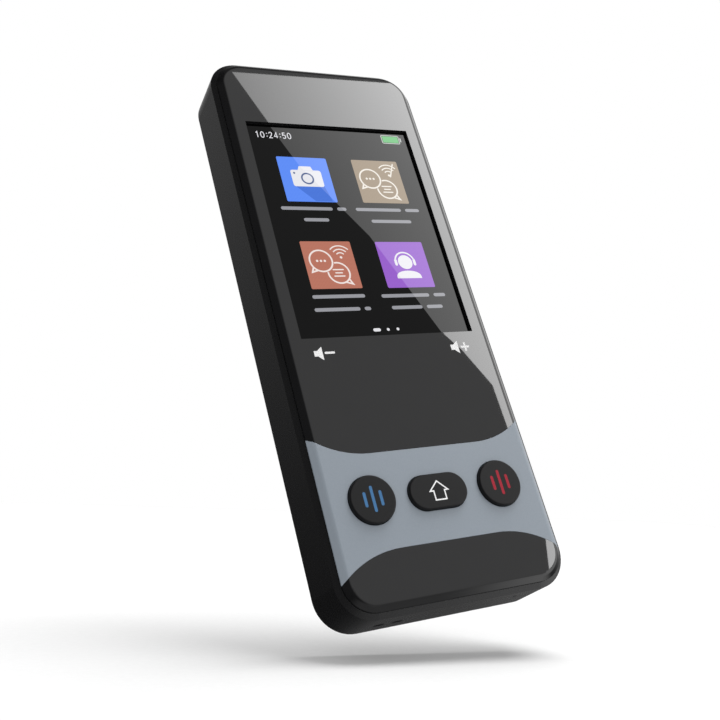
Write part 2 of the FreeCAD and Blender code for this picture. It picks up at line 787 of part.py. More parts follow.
def make_rear_housing():
    """Deep tub that forms the back and all four sides, with its bosses, ribs and openings."""
    body = new_body("rear_housing")
    add(body, "block", FRONT, lambda sketch: rounded(
        sketch, "0", "middle_up", "body_width", "body_length", "corner_radius"),
        "rim_depth", "body_depth")
    bevel_edges(body, "rim", edges_on(body.Tip.Shape, "Y", number("rim_depth")),
                "rim_bevel_width", "rim_bevel_depth")
    round_edges(body, "back_edge", edges_on(body.Tip.Shape, "Y", number("body_depth")),
                "back_edge_round")
    cut(body, "cavity", FRONT, lambda sketch: rounded(
        sketch, "0", "middle_up", "2 * cavity_half", "cavity_length", "cavity_radius"),
        "rim_depth", "back_inner")
    cut(body, "hook_windows", FRONT, hook_rectangles("hook_reach + cover_fit", "hook_play"),
        "hook_start - hook_play", "hook_start + hook_thickness + hook_play")
    add_speaker_seat(body)
    add_battery_cradle(body)
    add_camera_seat(body)
    add_eyelet(body)
    add_microphone_seat(body)
    cut(body, "port_window", TOP, lambda sketch: pill(
        sketch, "0", "port_depth", "port_width + 2 * port_play", "port_height + 2 * port_play"),
        "body_length - side_wall - overcut", "body_length + overcut")
    cut(body, "power_scoop", SIDE, lambda sketch: rounded(
        sketch, "power_depth", "power_up", "power_width + 2 * power_scoop_margin",
        "power_length + 2 * power_scoop_margin", "power_width / 2 + power_scoop_margin - overcut"),
        "body_width / 2 - power_scoop_depth", "body_width / 2 + overcut")
    cut(body, "power_window", SIDE, lambda sketch: rounded(
        sketch, "power_depth", "power_up", "power_width + 2 * power_fit",
        "power_length + 2 * power_fit", "power_width / 2 + power_fit - overcut"),
        "cavity_half - overcut", "body_width / 2 + overcut")


def add_speaker_seat(body):
    """Ring that holds the speaker, and the grille of round holes in rings behind it."""
    def ring(sketch):
        circle(sketch, "0", "speaker_up", "speaker_radius + speaker_play + speaker_ring")
        circle(sketch, "0", "speaker_up", "speaker_radius + speaker_play")
    add(body, "speaker_ring", FRONT, ring, "speaker_floor_front + speaker_ring_start", "back_inner")
    cut(body, "grille_centre", FRONT, lambda sketch: circle(
        sketch, "0", "speaker_up", "grille_hole"), "back_inner - overcut", "body_depth + overcut")
    for order in (1, 2, 3):
        hole = grille_hole(body, order)
        pattern = body.newObject("PartDesign::PolarPattern", "%s_grille_%d" % (body.Name, order))
        pattern.Originals = [hole]
        pattern.Axis = (hole.Profile[0], ["N_Axis"])
        pattern.Angle = 360
        pattern.Occurrences = 6 * order
        body.Tip = pattern
        DOC.recompute()


def grille_hole(body, order):
    """First hole of one grille ring, from a sketch whose origin is the speaker's middle."""
    before = body.Tip.Shape.Volume
    sketch = new_sketch(body, "grille_hole_%d" % order, FRONT, "back_inner - overcut")
    sketch.setExpression("AttachmentOffset.Base.y", link("speaker_up"))
    circle(sketch, "%d * grille_pitch" % order, "0", "grille_hole")
    hole = body.newObject("PartDesign::Pocket", "%s_grille_hole_%d" % (body.Name, order))
    hole.Profile = sketch
    hole.setExpression("Length", link("back_wall + 2 * overcut"))
    DOC.recompute()
    if hole.Shape.Volume > before - LEAST_CUT:
        raise ValueError("nothing was cut by " + hole.Name)
    return hole


def add_battery_cradle(body):
    """Low ribs round the battery and two posts that back the board behind the keys."""
    def ribs(sketch):
        rib = "battery_width / 2 + cradle_play"
        half = "cradle_share / 2"
        rectangle(sketch, rib, "battery_mid - " + half, rib + " + cradle_wall", "battery_mid + " + half)
        rectangle(sketch, "-(%s) - cradle_wall" % rib, "battery_mid - " + half, "-(%s)" % rib,
                  "battery_mid + " + half)
        rectangle(sketch, "-" + half, "battery_high + cradle_play", half,
                  "battery_high + cradle_play + cradle_wall")
        rectangle(sketch, "-" + half, "battery_low - cradle_play - cradle_wall", half,
                  "battery_low - cradle_play")
    add(body, "cradle", FRONT, ribs, "back_inner - cradle_rise", "back_inner + overcut")
    post_up = "(speaker_ring_top + battery_low) / 2"
    posts = circles([(across, post_up) for across in both_sides("post_aside")], "post_radius")
    add(body, "posts", FRONT, posts, "board_back + post_gap", "back_inner + overcut")


def add_camera_seat(body):
    """Stepped hole for the camera window and its ring, and the hole for the lamp."""
    cut(body, "trim_seat", FRONT, lambda sketch: circle(
        sketch, "camera_aside", "camera_up", "trim_radius + trim_play"),
        "trim_floor", "body_depth + overcut")
    cut(body, "camera_hole", FRONT, lambda sketch: circle(
        sketch, "camera_aside", "camera_up", "camera_hole"), "back_inner - overcut", "body_depth")
    cut(body, "lamp_hole", FRONT, lambda sketch: circle(
        sketch, "camera_aside", "lamp_up", "lamp_radius + lamp_play"),
        "back_inner - overcut", "body_depth + overcut")


def add_eyelet(body):
    """Two holes in the bottom end that a cord loops through, round the bar between them."""
    add(body, "eyelet_block", FRONT, lambda sketch: rectangle(
        sketch, "-eyelet_aside - eyelet_pitch / 2 - eyelet_width / 2 - eyelet_wall",
        "side_wall - overcut",
        "-eyelet_aside + eyelet_pitch / 2 + eyelet_width / 2 + eyelet_wall",
        "side_wall + eyelet_channel + eyelet_wall"),
        "eyelet_depth - eyelet_height / 2 - eyelet_wall", "back_inner + overcut")

    def holes(sketch):
        pill(sketch, "-eyelet_aside - eyelet_pitch / 2", "eyelet_depth", "eyelet_width", "eyelet_height")
        pill(sketch, "-eyelet_aside + eyelet_pitch / 2", "eyelet_depth", "eyelet_width", "eyelet_height")
    cut(body, "eyelet_holes", TOP, holes, "-overcut", "side_wall + overcut")
    cut(body, "eyelet_channel", TOP, lambda sketch: pill(
        sketch, "-eyelet_aside", "eyelet_depth", "eyelet_pitch + eyelet_width", "eyelet_height"),
        "side_wall", "side_wall + eyelet_channel")


def add_microphone_seat(body):
    """Half-round cradle for the microphone's boot, and the sound hole under it."""
    across = "boot_radius + boot_play + boot_cradle_wall"
    add(body, "boot_cradle", FRONT, lambda sketch: rectangle(
        sketch, "microphone_aside - (%s)" % across, "side_wall - overcut",
        "microphone_aside + (%s)" % across, "boot_high - boot_play"),
        "microphone_depth", "back_inner + overcut")
    cut(body, "boot_notch", TOP, lambda sketch: circle(
        sketch, "microphone_aside", "microphone_depth", "boot_radius + boot_play"),
        "side_wall", "boot_high + overcut")
    cut(body, "sound_hole", TOP, lambda sketch: circle(
        sketch, "microphone_aside", "microphone_depth", "microphone_hole"),
        "-overcut", "side_wall + overcut")


def make_front_cover():
    """Front moulding with the screen opening, the band's seat, the skirt, hooks and screw bosses."""
    body = new_body("front_cover")
    add_cover_slab(body)

    def seat(sketch):
        band_loop(sketch, "band_fit")
    cut(body, "band_seat", FRONT, seat, "-overcut", "cover_edge")
    add(body, "seam_step", FRONT, lambda sketch: cover_outline(sketch, "seam_groove"),
        "cover_edge", "rim_depth")
    add(body, "plate", FRONT, lambda sketch: rounded(
        sketch, "0", "middle_up", "2 * plug_half", "plug_tall", "plug_radius"),
        "cover_edge", "cover_plate")

    def skirt(sketch):
        rounded(sketch, "0", "middle_up", "2 * plug_half", "plug_tall", "plug_radius")
        rounded(sketch, "0", "middle_up", "2 * (plug_half - skirt_wall)",
                "plug_tall - 2 * skirt_wall", "plug_radius - skirt_wall")
    add(body, "skirt", FRONT, skirt, "cover_plate - overcut", "skirt_end")
    add(body, "hooks", FRONT, hook_rectangles("hook_reach", "0"),
        "hook_start", "hook_start + hook_thickness")
    add(body, "bosses", FRONT, circles(boss_places(), "boss_radius"),
        "cover_plate - overcut", "board_front")
    cut(body, "boss_bores", FRONT, circles(boss_places(), "screw_radius + screw_play"),
        "board_front - screw_length - screw_hole_extra", "board_front + overcut")
    cut(body, "screen_opening", FRONT, lambda sketch: box_outline(
        sketch, "0", "screen_mid", "opening_width", "opening_height"), "-overcut", "opening_lip + overcut")
    cut(body, "glass_rebate", FRONT, lambda sketch: rounded(
        sketch, "0", "glass_mid", "glass_width + 2 * rebate_play", "glass_length + 2 * rebate_play",
        "glass_corner"), "opening_lip", "cover_plate + overcut")
    cut_key_windows(body)


def add_cover_slab(body):
    """Visible front slab of the cover and of the band in it, bevelled round its edge."""
    add(body, "slab", FRONT, lambda sketch: cover_outline(sketch, "0"), "0", "cover_edge")
    bevel_edges(body, "bevel", edges_on(body.Tip.Shape, "Y", 0.0),
                "cover_bevel_width", "cover_bevel_depth")
    round_edges(body, "bevel_round", edges_on(body.Tip.Shape, "Y", 0.0), "cover_bevel_round")


def band_loop(sketch, play):
    """Closed outline of the control band, grown by a play all round."""
    side = number("body_width / 2")
    curves = []
    for middle, edge, flat in (
            ("band_top + (%s)" % play, "band_top_edge + (%s)" % play, "band_top_flat"),
            ("band_low - (%s)" % play, "band_low_edge - (%s)" % play, "band_low_flat")):
        curves.append(band_curve(sketch, side, middle, edge, flat))
    top, low = curves
    right = sketch.addGeometry(Part.LineSegment(top["right_end"], low["right_end"]), False)
    left = sketch.addGeometry(Part.LineSegment(low["left_end"], top["left_end"]), False)
    sketch.addConstraint(Sketcher.Constraint("Coincident", top["right"], top["right_out"], right, 1))
    sketch.addConstraint(Sketcher.Constraint("Coincident", right, 2, low["right"], low["right_out"]))
    sketch.addConstraint(Sketcher.Constraint("Coincident", low["left"], low["left_out"], left, 1))
    sketch.addConstraint(Sketcher.Constraint("Coincident", left, 2, top["left"], top["left_out"]))


def band_curve(sketch, side, middle, edge, flat):
    """One long edge of the band: flat in the middle, with an arc sweeping out to each side."""
    level = number(middle)
    rise = number(edge) - level
    run = side - number(flat)
    radius = (run * run + rise * rise) / (2 * abs(rise))
    centre_up = level + (radius if rise > 0 else -radius)
    ends = {}
    for name, sign in (("left", -1), ("right", 1)):
        centre = Vector(sign * number(flat), centre_up, 0)
        outer = Vector(sign * side, number(edge), 0)
        inner = Vector(sign * number(flat), level, 0)
        item = sketch.addGeometry(arc_between(centre, outer, inner), False)
        ends[name] = item
        ends[name + "_end"] = outer
        ends[name + "_out"], ends[name + "_in"] = arc_points(sketch, item, outer)
    line = sketch.addGeometry(Part.LineSegment(
        Vector(-number(flat), level, 0), Vector(number(flat), level, 0)), False)
    sketch.addConstraint(Sketcher.Constraint("Tangent", ends["left"], ends["left_in"], line, 1))
    sketch.addConstraint(Sketcher.Constraint("Tangent", line, 2, ends["right"], ends["right_in"]))
    sketch.addConstraint(Sketcher.Constraint("Horizontal", line))
    datum(sketch, "DistanceX", -1, 1, line, 1, "-(%s)" % flat)
    datum(sketch, "DistanceX", -1, 1, line, 2, flat)
    datum(sketch, "DistanceY", -1, 1, line, 1, middle)
    for name, formula in (("left", "-body_width / 2"), ("right", "body_width / 2")):
        datum(sketch, "DistanceX", -1, 1, ends[name], ends[name + "_out"], formula)
        datum(sketch, "DistanceY", -1, 1, ends[name], ends[name + "_out"], edge)
    return ends


def cut_key_windows(body):
    """Holes that the three front keys move in."""
    def windows(sketch):
        for across in both_sides("key_spacing"):
            circle(sketch, across, "key_up", "key_radius + key_fit")
        pill(sketch, "0", "key_up", "home_width + 2 * key_fit", "home_height + 2 * key_fit")
    cut(body, "key_windows", FRONT, windows, "-overcut", "cover_plate + overcut")


def make_control_band():
    """Slate-coloured band let flush into the front cover round the keys."""
    body = new_body("control_band")
    add_cover_slab(body)
    cut(body, "above", FRONT, lambda sketch: band_limit(
        sketch, "band_top", "band_top_edge", "band_top_flat", "body_length"),
        "-overcut", "cover_edge + overcut")
    cut(body, "below", FRONT, lambda sketch: band_limit(
        sketch, "band_low", "band_low_edge", "band_low_flat", "-overcut"),
        "-overcut", "cover_edge + overcut")
    cut_key_windows(body)


def make_round_key(name, across):
    """Round front key with a flange behind the cover and a stem that presses its switch."""
    body = new_body(name)
    add(body, "cap", FRONT, lambda sketch: circle(sketch, across, "key_up", "key_radius"),
        "-key_proud", "flange_front + overcut")
    round_edges(body, "cap_round", edges_on(body.Tip.Shape, "Y", -number("key_proud")), "key_round")
    add(body, "flange", FRONT, lambda sketch: circle(
        sketch, across, "key_up", "key_radius + key_flange"), "flange_front", "flange_back")
    add(body, "stem", FRONT, lambda sketch: circle(
        sketch, across, "key_up", "key_stem_radius"), "flange_back - overcut", "plunger_top")


def make_home_key():
    """Pill-shaped middle key, built like the round ones."""
    body = new_body("home_key")
    add(body, "cap", FRONT, lambda sketch: pill(
        sketch, "0", "key_up", "home_width", "home_height"), "-key_proud", "flange_front + overcut")
    round_edges(body, "cap_round", edges_on(body.Tip.Shape, "Y", -number("key_proud")), "key_round")
    add(body, "flange", FRONT, lambda sketch: pill(
        sketch, "0", "key_up", "home_width + 2 * key_flange", "home_height + 2 * key_flange"),
        "flange_front", "flange_back")
    add(body, "stem", FRONT, lambda sketch: circle(
        sketch, "0", "key_up", "key_stem_radius"), "flange_back - overcut", "plunger_top")


def make_key_switch(name, across):
    """Push switch on the board under a key, with the well that its plunger moves in."""
    body = new_body(name)
    add(body, "base", FRONT, lambda sketch: box_outline(
        sketch, across, "key_up", "switch_side", "switch_side"), "switch_top", "board_front")
    cut(body, "well", FRONT, lambda sketch: circle(
        sketch, across, "key_up", "plunger_radius + plunger_play"),
        "switch_top - overcut", "switch_top + plunger_sink + key_travel + plunger_end_play")
    plunger = new_body(name + "_plunger")
    add(plunger, "pin", FRONT, lambda sketch: circle(
        sketch, across, "key_up", "plunger_radius"), "plunger_top", "switch_top + plunger_sink")


def make_touch_glass():
    """Glass behind the screen opening, with the tongue that senses the two volume marks."""
    body = new_body("touch_glass")
    add(body, "sheet", FRONT, lambda sketch: rounded(
        sketch, "0", "glass_mid", "glass_width", "glass_length", "glass_corner"),
        "glass_front", "glass_front + glass_thickness")


def make_glass_tape():
    """Thin adhesive frame that bonds the glass behind the opening's lip."""
    def frame(sketch):
        rounded(sketch, "0", "glass_mid", "glass_width", "glass_length", "glass_corner")
        box_outline(sketch, "0", "screen_mid", "opening_width", "opening_height")
    body = new_body("glass_tape")
    add(body, "frame", FRONT, frame, "opening_lip", "glass_front")


def make_display():
    """Liquid-crystal cell, light guide and the steel tray that holds them."""
    cell = new_body("lcd_panel")
    add(cell, "cell", FRONT, lambda sketch: rectangle(
        sketch, "-screen_width / 2 - cell_border", "screen_low - cell_foot",
        "screen_width / 2 + cell_border", "screen_high + cell_border"), "cell_front", "cell_back")
    guide = new_body("light_guide")
    add(guide, "guide", FRONT, lambda sketch: rectangle(
        sketch, "-screen_width / 2 - cell_border", "screen_low - cell_foot",
        "screen_width / 2 + cell_border", "screen_high + cell_border"),
        "guide_front", "guide_front + guide_thickness")
    tray = new_body("display_tray")
    add(tray, "pan", FRONT, lambda sketch: rounded(
        sketch, "0", "tray_mid", "2 * tray_half", "tray_height", "tray_sheet + tray_corner"),
        "cell_front", "tray_back")
    cut(tray, "hollow", FRONT, lambda sketch: rounded(
        sketch, "0", "tray_mid", "2 * (tray_half - tray_sheet)", "tray_height - 2 * tray_sheet",
        "tray_corner"),
        "cell_front - overcut", "tray_floor")
    cut(tray, "ribbon_notch", FRONT, lambda sketch: rectangle(
        sketch, "-ribbon_width / 2 - tray_slot_play", "tray_low - overcut",
        "ribbon_width / 2 + tray_slot_play",
        "tray_low + tray_sheet + overcut"), "cell_front - overcut", "tray_floor")


def make_display_ribbon():
    """Flexible circuit from the display's foot, stepped back into its socket on the board."""
    start = "cell_back - ribbon_sheet"
    body = new_body("display_ribbon")
    path = [
        (start, "screen_low - cell_foot"),
        (start, "tray_low - ribbon_drop"),
        ("ribbon_level", "tray_low - ribbon_drop"),
        ("ribbon_level", "ribbon_end"),
        ("ribbon_level + ribbon_sheet", "ribbon_end"),
        ("ribbon_level + ribbon_sheet", "tray_low - ribbon_drop + ribbon_sheet"),
        (start + " + ribbon_sheet", "tray_low - ribbon_drop + ribbon_sheet"),
        (start + " + ribbon_sheet", "screen_low - cell_foot"),
    ]
    add(body, "strip", SIDE, lambda sketch: polygon(sketch, path),
        "-ribbon_width / 2", "ribbon_width / 2")
    for bend, radius in (
            ((("ribbon_level", "tray_low - ribbon_drop"),
              (start + " + ribbon_sheet", "tray_low - ribbon_drop + ribbon_sheet")), "ribbon_bend"),
            (((start, "tray_low - ribbon_drop"),
              ("ribbon_level + ribbon_sheet", "tray_low - ribbon_drop + ribbon_sheet")),
             "ribbon_bend + ribbon_sheet")):
        corner = "inner_bend" if radius == "ribbon_bend" else "outer_bend"
        round_edges(body, corner, edges_through(body.Tip.Shape, bend), radius)


def edges_through(shape, places):
    """Names of the edges along X that pass through points given as depth and height."""
    names = []
    for order, edge in enumerate(shape.Edges, 1):
        box = edge.BoundBox
        for depth, up in places:
            across = abs(box.YMin - number(depth)) + abs(box.YMax - number(depth))
            tall = abs(box.ZMin - number(up)) + abs(box.ZMax - number(up))
            if across + tall < 4 * SAME_PLACE:
                names.append("Edge%d" % order)
    return names


def make_display_socket():
    """Socket on the board's front that grips the display's ribbon."""
    body = new_body("display_socket")
    add(body, "block", FRONT, lambda sketch: rectangle(
        sketch, "-ribbon_width / 2 - socket_cheek", "socket_low",
        "ribbon_width / 2 + socket_cheek", "socket_high"), "board_front - socket_rise", "board_front")
    cut(body, "slot", TOP, lambda sketch: rectangle(
        sketch, "-ribbon_width / 2 - socket_side_play", "ribbon_level - socket_face_play",
        "ribbon_width / 2 + socket_side_play", "ribbon_level + ribbon_sheet + socket_face_play"),
        "ribbon_end - socket_end_play", "socket_high + overcut")


def make_display_foam():
    """Two foam strips that fill the space between the display's tray and the board."""
    body = new_body("display_foam")

    def strips(sketch):
        for across in both_sides("tray_half - foam_in - foam_width / 2"):
            box_outline(sketch, across, "screen_mid", "foam_width", "foam_length")
    add(body, "strips", FRONT, strips, "tray_back", "board_front")


def make_main_board():
    """Circuit board across the whole cavity, with its screw holes."""
    body = new_body("main_board")
    add(body, "sheet", FRONT, lambda sketch: rounded(
        sketch, "0", "(board_foot + board_high) / 2", "2 * board_half", "board_high - board_foot",
        "board_corner"), "board_front", "board_back")
    cut(body, "screw_holes", FRONT, circles(boss_places(), "screw_radius + 2 * screw_play"),
        "board_front - overcut", "board_back + overcut")


def make_board_screws():
    """Six pan-head screws that fix the board to the cover's bosses."""
    body = new_body("board_screws")
    add(body, "heads", FRONT, circles(boss_places(), "screw_head_radius"),
        "board_back", "board_back + screw_head_height")
    chamfer_edges(body, "head_bevel", edges_on(
        body.Tip.Shape, "Y", number("board_back + screw_head_height")), "screw_head_bevel")
    add(body, "shanks", FRONT, circles(boss_places(), "screw_radius"),
        "board_front - screw_length", "board_back + overcut")

    def crosses(sketch):
        for across, up in boss_places():
            cross(sketch, across, up, "screw_drive_reach", "screw_drive_slot / 2")
    cut(body, "drives", FRONT, crosses,
        "board_back + screw_head_height - screw_drive_depth", "board_back + screw_head_height + overcut")


def make_chips():
    """Processor and memory on the board's back, with the pressed shield over both."""
    left = "-shield_left + shield_sheet + chip_gap"
    low = "shield_low + shield_sheet + chip_gap"
    processor = new_body("processor")
    add(processor, "package", FRONT, lambda sketch: rectangle(
        sketch, left, low, left + " + processor_side", low + " + processor_side"),
        "board_back", "board_back + processor_height")
    memory = new_body("memory_chip")
    start = left + " + processor_side + chip_gap"
    add(memory, "package", FRONT, lambda sketch: rectangle(
        sketch, start, low, start + " + memory_width", low + " + memory_height"),
        "board_back", "board_back + processor_height")
    shield = new_body("rf_shield")
    middle = "-shield_left + shield_width / 2"
    up = "(shield_low + shield_high) / 2"
    add(shield, "can", FRONT, lambda sketch: rounded(
        sketch, middle, up, "shield_width", "shield_height", "shield_sheet + shield_corner"),
        "board_back", "board_back + shield_rise")
    cut(shield, "hollow", FRONT, lambda sketch: rounded(
        sketch, middle, up, "shield_width - 2 * shield_sheet", "shield_height - 2 * shield_sheet",
        "shield_corner"), "board_back - overcut", "board_back + shield_rise - shield_sheet")


def make_antenna():
    """Stamped antenna plate standing on two legs at the top of the board."""
    body = new_body("antenna")
    high = "body_length - antenna_from_top"
    low = high + " - antenna_height"
    add(body, "plate", FRONT, lambda sketch: rectangle(
        sketch, "-antenna_left", low, "-antenna_left + antenna_width", high),
        "board_back + antenna_rise - antenna_sheet", "board_back + antenna_rise")

    def legs(sketch):
        for left in ("-antenna_left", "-antenna_left + antenna_width - antenna_leg"):
            rectangle(sketch, left, low, left + " + antenna_leg", low + " + antenna_sheet")
    add(body, "legs", FRONT, legs, "board_back", "board_back + antenna_rise - antenna_sheet / 2")
    cut(body, "slit", FRONT, lambda sketch: rectangle(
        sketch, "-antenna_left + antenna_leg", low + " + antenna_height / 2 - antenna_slit / 2",
        "-antenna_left + antenna_width + overcut", low + " + antenna_height / 2 + antenna_slit / 2"),
        "board_back + antenna_rise - antenna_sheet - overcut", "board_back + antenna_rise + overcut")


def make_battery():
    """Flat battery pack, its tape, its two leads, and the plug and socket that connect it."""
    pack = new_body("battery_pack")
    add(pack, "pouch", FRONT, lambda sketch: box_outline(
        sketch, "0", "battery_mid", "battery_width", "battery_length"), "battery_front", "battery_back")
    round_edges(pack, "sides", long_edges(pack.Tip.Shape), "battery_round")
    tape = new_body("battery_tape")
    add(tape, "sheet", FRONT, lambda sketch: box_outline(
        sketch, "0", "battery_mid", "battery_width - 2 * battery_tape_border",
        "battery_length - 2 * battery_tape_border"), "battery_back", "back_inner")
    leads = new_body("battery_leads")

    def wires(sketch):
        for across in both_sides("lead_pitch / 2"):
            circle(sketch, "lead_aside + " + across, "lead_depth", "lead_radius")
    add(leads, "wires", TOP, wires, "battery_high", "plug_low")
    plug = new_body("battery_plug")
    wall = "plug_wall + plug_play"
    add(plug, "block", FRONT, lambda sketch: rectangle(
        sketch, "lead_aside - plug_width / 2", "plug_low", "lead_aside + plug_width / 2", "plug_high"),
        "board_back + " + wall, "board_back + " + wall + " + plug_height")
    socket = new_body("battery_socket")
    half = "plug_width / 2 + " + wall
    add(socket, "block", FRONT, lambda sketch: rectangle(
        sketch, "lead_aside - (%s)" % half, "plug_low + plug_length / 4", "lead_aside + " + half,
        "plug_high + " + wall), "board_back", "board_back + " + wall + " + plug_height")
    cut(socket, "mouth", FRONT, lambda sketch: rectangle(
        sketch, "lead_aside - plug_width / 2 - plug_play", "plug_low",
        "lead_aside + plug_width / 2 + plug_play", "plug_high + plug_play"),
        "board_back + plug_wall", "board_back + " + wall + " + plug_height + overcut")


def long_edges(shape):
    """Names of the edges of the pouch that run up the body."""
    names = []
    for order, edge in enumerate(shape.Edges, 1):
        box = edge.BoundBox
        if box.XLength < SAME_PLACE and box.YLength < SAME_PLACE and box.ZLength > SAME_PLACE:
            names.append("Edge%d" % order)
    return names


def make_speaker():
    """Speaker basket, magnet and cone, with its gasket, dust mesh and contact pins."""
    basket = new_body("speaker_basket")
    add(basket, "cup", FRONT, lambda sketch: circle(sketch, "0", "speaker_up", "speaker_radius"),
        "speaker_floor_front", "gasket_front")
    cut(basket, "hollow", FRONT, lambda sketch: circle(
        sketch, "0", "speaker_up", "speaker_bore"), "speaker_floor_back", "gasket_front + overcut")
    magnet = new_body("speaker_magnet")
    add(magnet, "disc", FRONT, lambda sketch: circle(
        sketch, "0", "speaker_up", "magnet_radius"), "magnet_front", "speaker_floor_front")
    make_cone()
    gasket = new_body("speaker_gasket")

    def ring(sketch):
        circle(sketch, "0", "speaker_up", "speaker_radius")
        circle(sketch, "0", "speaker_up", "speaker_bore")
    add(gasket, "ring", FRONT, ring, "gasket_front", "mesh_front")
    mesh = new_body("speaker_mesh")
    add(mesh, "disc", FRONT, lambda sketch: circle(
        sketch, "0", "speaker_up", "speaker_radius"), "mesh_front", "back_inner")
    pins = new_body("speaker_pins")
    places = [(across, "speaker_up") for across in both_sides("speaker_pin_out")]
    add(pins, "pins", FRONT, circles(places, "speaker_pin_radius"), "board_back", "speaker_floor_front")


def make_cone():
    """Thin cone with a domed middle, turned about the speaker's axis."""
    body = new_body("speaker_cone")
    sketch = new_sketch(body, "profile", SIDE, "0")
    rim = "gasket_front - cone_gap"
    outer = "speaker_up + speaker_bore"
    inner = "speaker_up + speaker_bore / 2"
    polygon(sketch, [
        (rim, outer),
        (rim + " - cone_rise", inner),
        (rim + " - cone_rise / 3", "speaker_up"),
        (rim + " - cone_rise / 3 - cone_sheet", "speaker_up"),
        (rim + " - cone_rise - cone_sheet", inner),
        (rim + " - cone_sheet", outer),
    ])
    axis = sketch.addGeometry(Part.LineSegment(
        Vector(number("back_inner"), number("speaker_up"), 0),
        Vector(number("board_back"), number("speaker_up"), 0)), True)
    sketch.addConstraint(Sketcher.Constraint("Horizontal", axis))
    datum(sketch, "DistanceY", -1, 1, axis, 1, "speaker_up")
    datum(sketch, "DistanceX", -1, 1, axis, 1, "back_inner")
    datum(sketch, "DistanceX", -1, 1, axis, 2, "board_back")
    turn = body.newObject("PartDesign::Revolution", "speaker_cone_turn")
    turn.Profile = sketch
    turn.ReferenceAxis = (sketch, ["Axis0"])
    turn.Angle = 360
    DOC.recompute()


def make_microphone():
    """Microphone capsule with its two pins, in a soft boot over the sound hole."""
    capsule = new_body("microphone")
    floor = "boot_low + boot_floor"
    add(capsule, "can", TOP, lambda sketch: circle(
        sketch, "microphone_aside", "microphone_depth", "microphone_radius"),
        floor, floor + " + microphone_height")

    def pins(sketch):
        for across in both_sides("microphone_pin_pitch / 2"):
            circle(sketch, "microphone_aside + " + across, "microphone_depth", "microphone_pin")
    add(capsule, "pins", TOP, pins, floor + " + microphone_height - overcut", "board_foot")
    boot = new_body("microphone_boot")
    add(boot, "cup", TOP, lambda sketch: circle(
        sketch, "microphone_aside", "microphone_depth", "boot_radius"), "boot_low", "boot_high")
    cut(boot, "hollow", TOP, lambda sketch: circle(
        sketch, "microphone_aside", "microphone_depth", "microphone_radius"),
        floor, "boot_high + overcut")
    cut(boot, "sound_hole", TOP, lambda sketch: circle(
        sketch, "microphone_aside", "microphone_depth", "microphone_hole"),
        "boot_low - overcut", floor + " + overcut")


def make_charging_port():
    """Charging socket at the top end: a drawn steel shell with its tongue inside."""
    shell = new_body("usb_c_shell")
    add(shell, "tube", TOP, lambda sketch: pill(
        sketch, "0", "port_depth", "port_width", "port_height"), "port_end", "port_mouth")
    cut(shell, "hollow", TOP, lambda sketch: pill(
        sketch, "0", "port_depth", "port_width - 2 * port_sheet", "port_height - 2 * port_sheet"),
        "port_end + port_floor", "port_mouth + overcut")
    tongue = new_body("usb_c_tongue")
    add(tongue, "blade", TOP, lambda sketch: box_outline(
        sketch, "0", "port_depth", "tongue_width", "tongue_thickness"),
        "port_end + port_floor", "port_end + port_floor + tongue_length")
    ends = edges_on(tongue.Tip.Shape, "Z", number("port_end + port_floor + tongue_length"))
    round_edges(tongue, "tip", ends, "tongue_round")


def make_camera():
    """Rear camera on the board with its barrel and lens, and the ring and window over it."""
    base = new_body("camera_base")
    add(base, "block", FRONT, lambda sketch: box_outline(
        sketch, "camera_aside", "camera_up", "camera_side", "camera_side"),
        "board_back", "camera_base_back")
    barrel = new_body("camera_barrel")
    add(barrel, "tube", FRONT, lambda sketch: circle(
        sketch, "camera_aside", "camera_up", "barrel_radius"), "camera_base_back", "barrel_back")
    cut(barrel, "bore", FRONT, lambda sketch: circle(
        sketch, "camera_aside", "camera_up", "barrel_bore"),
        "barrel_back - lens_inset - lens_thickness", "barrel_back + overcut")
    lens = new_body("camera_lens")
    add(lens, "disc", FRONT, lambda sketch: circle(
        sketch, "camera_aside", "camera_up", "barrel_bore"),
        "barrel_back - lens_inset - lens_thickness", "barrel_back - lens_inset")
    round_edges(lens, "dome", edges_on(
        lens.Tip.Shape, "Y", number("barrel_back - lens_inset")), "lens_bulge")
    trim = new_body("camera_trim")

    def ring(sketch):
        circle(sketch, "camera_aside", "camera_up", "trim_radius")
        circle(sketch, "camera_aside", "camera_up", "trim_radius - trim_width")
    add(trim, "ring", FRONT, ring, "trim_floor", "body_depth - trim_inset")
    chamfer_edges(trim, "ring_bevel", edges_on(
        trim.Tip.Shape, "Y", number("body_depth - trim_inset")), "trim_bevel")
    window = new_body("camera_window")
    add(window, "disc", FRONT, lambda sketch: circle(
        sketch, "camera_aside", "camera_up", "trim_radius - trim_width - trim_play"),
        "trim_floor", "trim_floor + window_thickness")


def make_lamp():
    """Lamp for the camera: the diode on the board and the clear light pipe in the housing."""
    diode = new_body("lamp_led")
    add(diode, "package", FRONT, lambda sketch: box_outline(
        sketch, "camera_aside", "lamp_up", "led_side", "led_side"), "board_back", "led_back")
    pipe = new_body("lamp_lens")
    add(pipe, "pipe", FRONT, lambda sketch: circle(
        sketch, "camera_aside", "lamp_up", "lamp_radius"), "led_back + led_gap", "body_depth - lamp_inset")
    chamfer_edges(pipe, "face", edges_on(
        pipe.Tip.Shape, "Y", number("body_depth - lamp_inset")), "lamp_bevel")
    add(pipe, "flange", FRONT, lambda sketch: circle(
        sketch, "camera_aside", "lamp_up", "lamp_radius + lamp_flange"),
        "back_inner - lamp_flange_height", "back_inner")


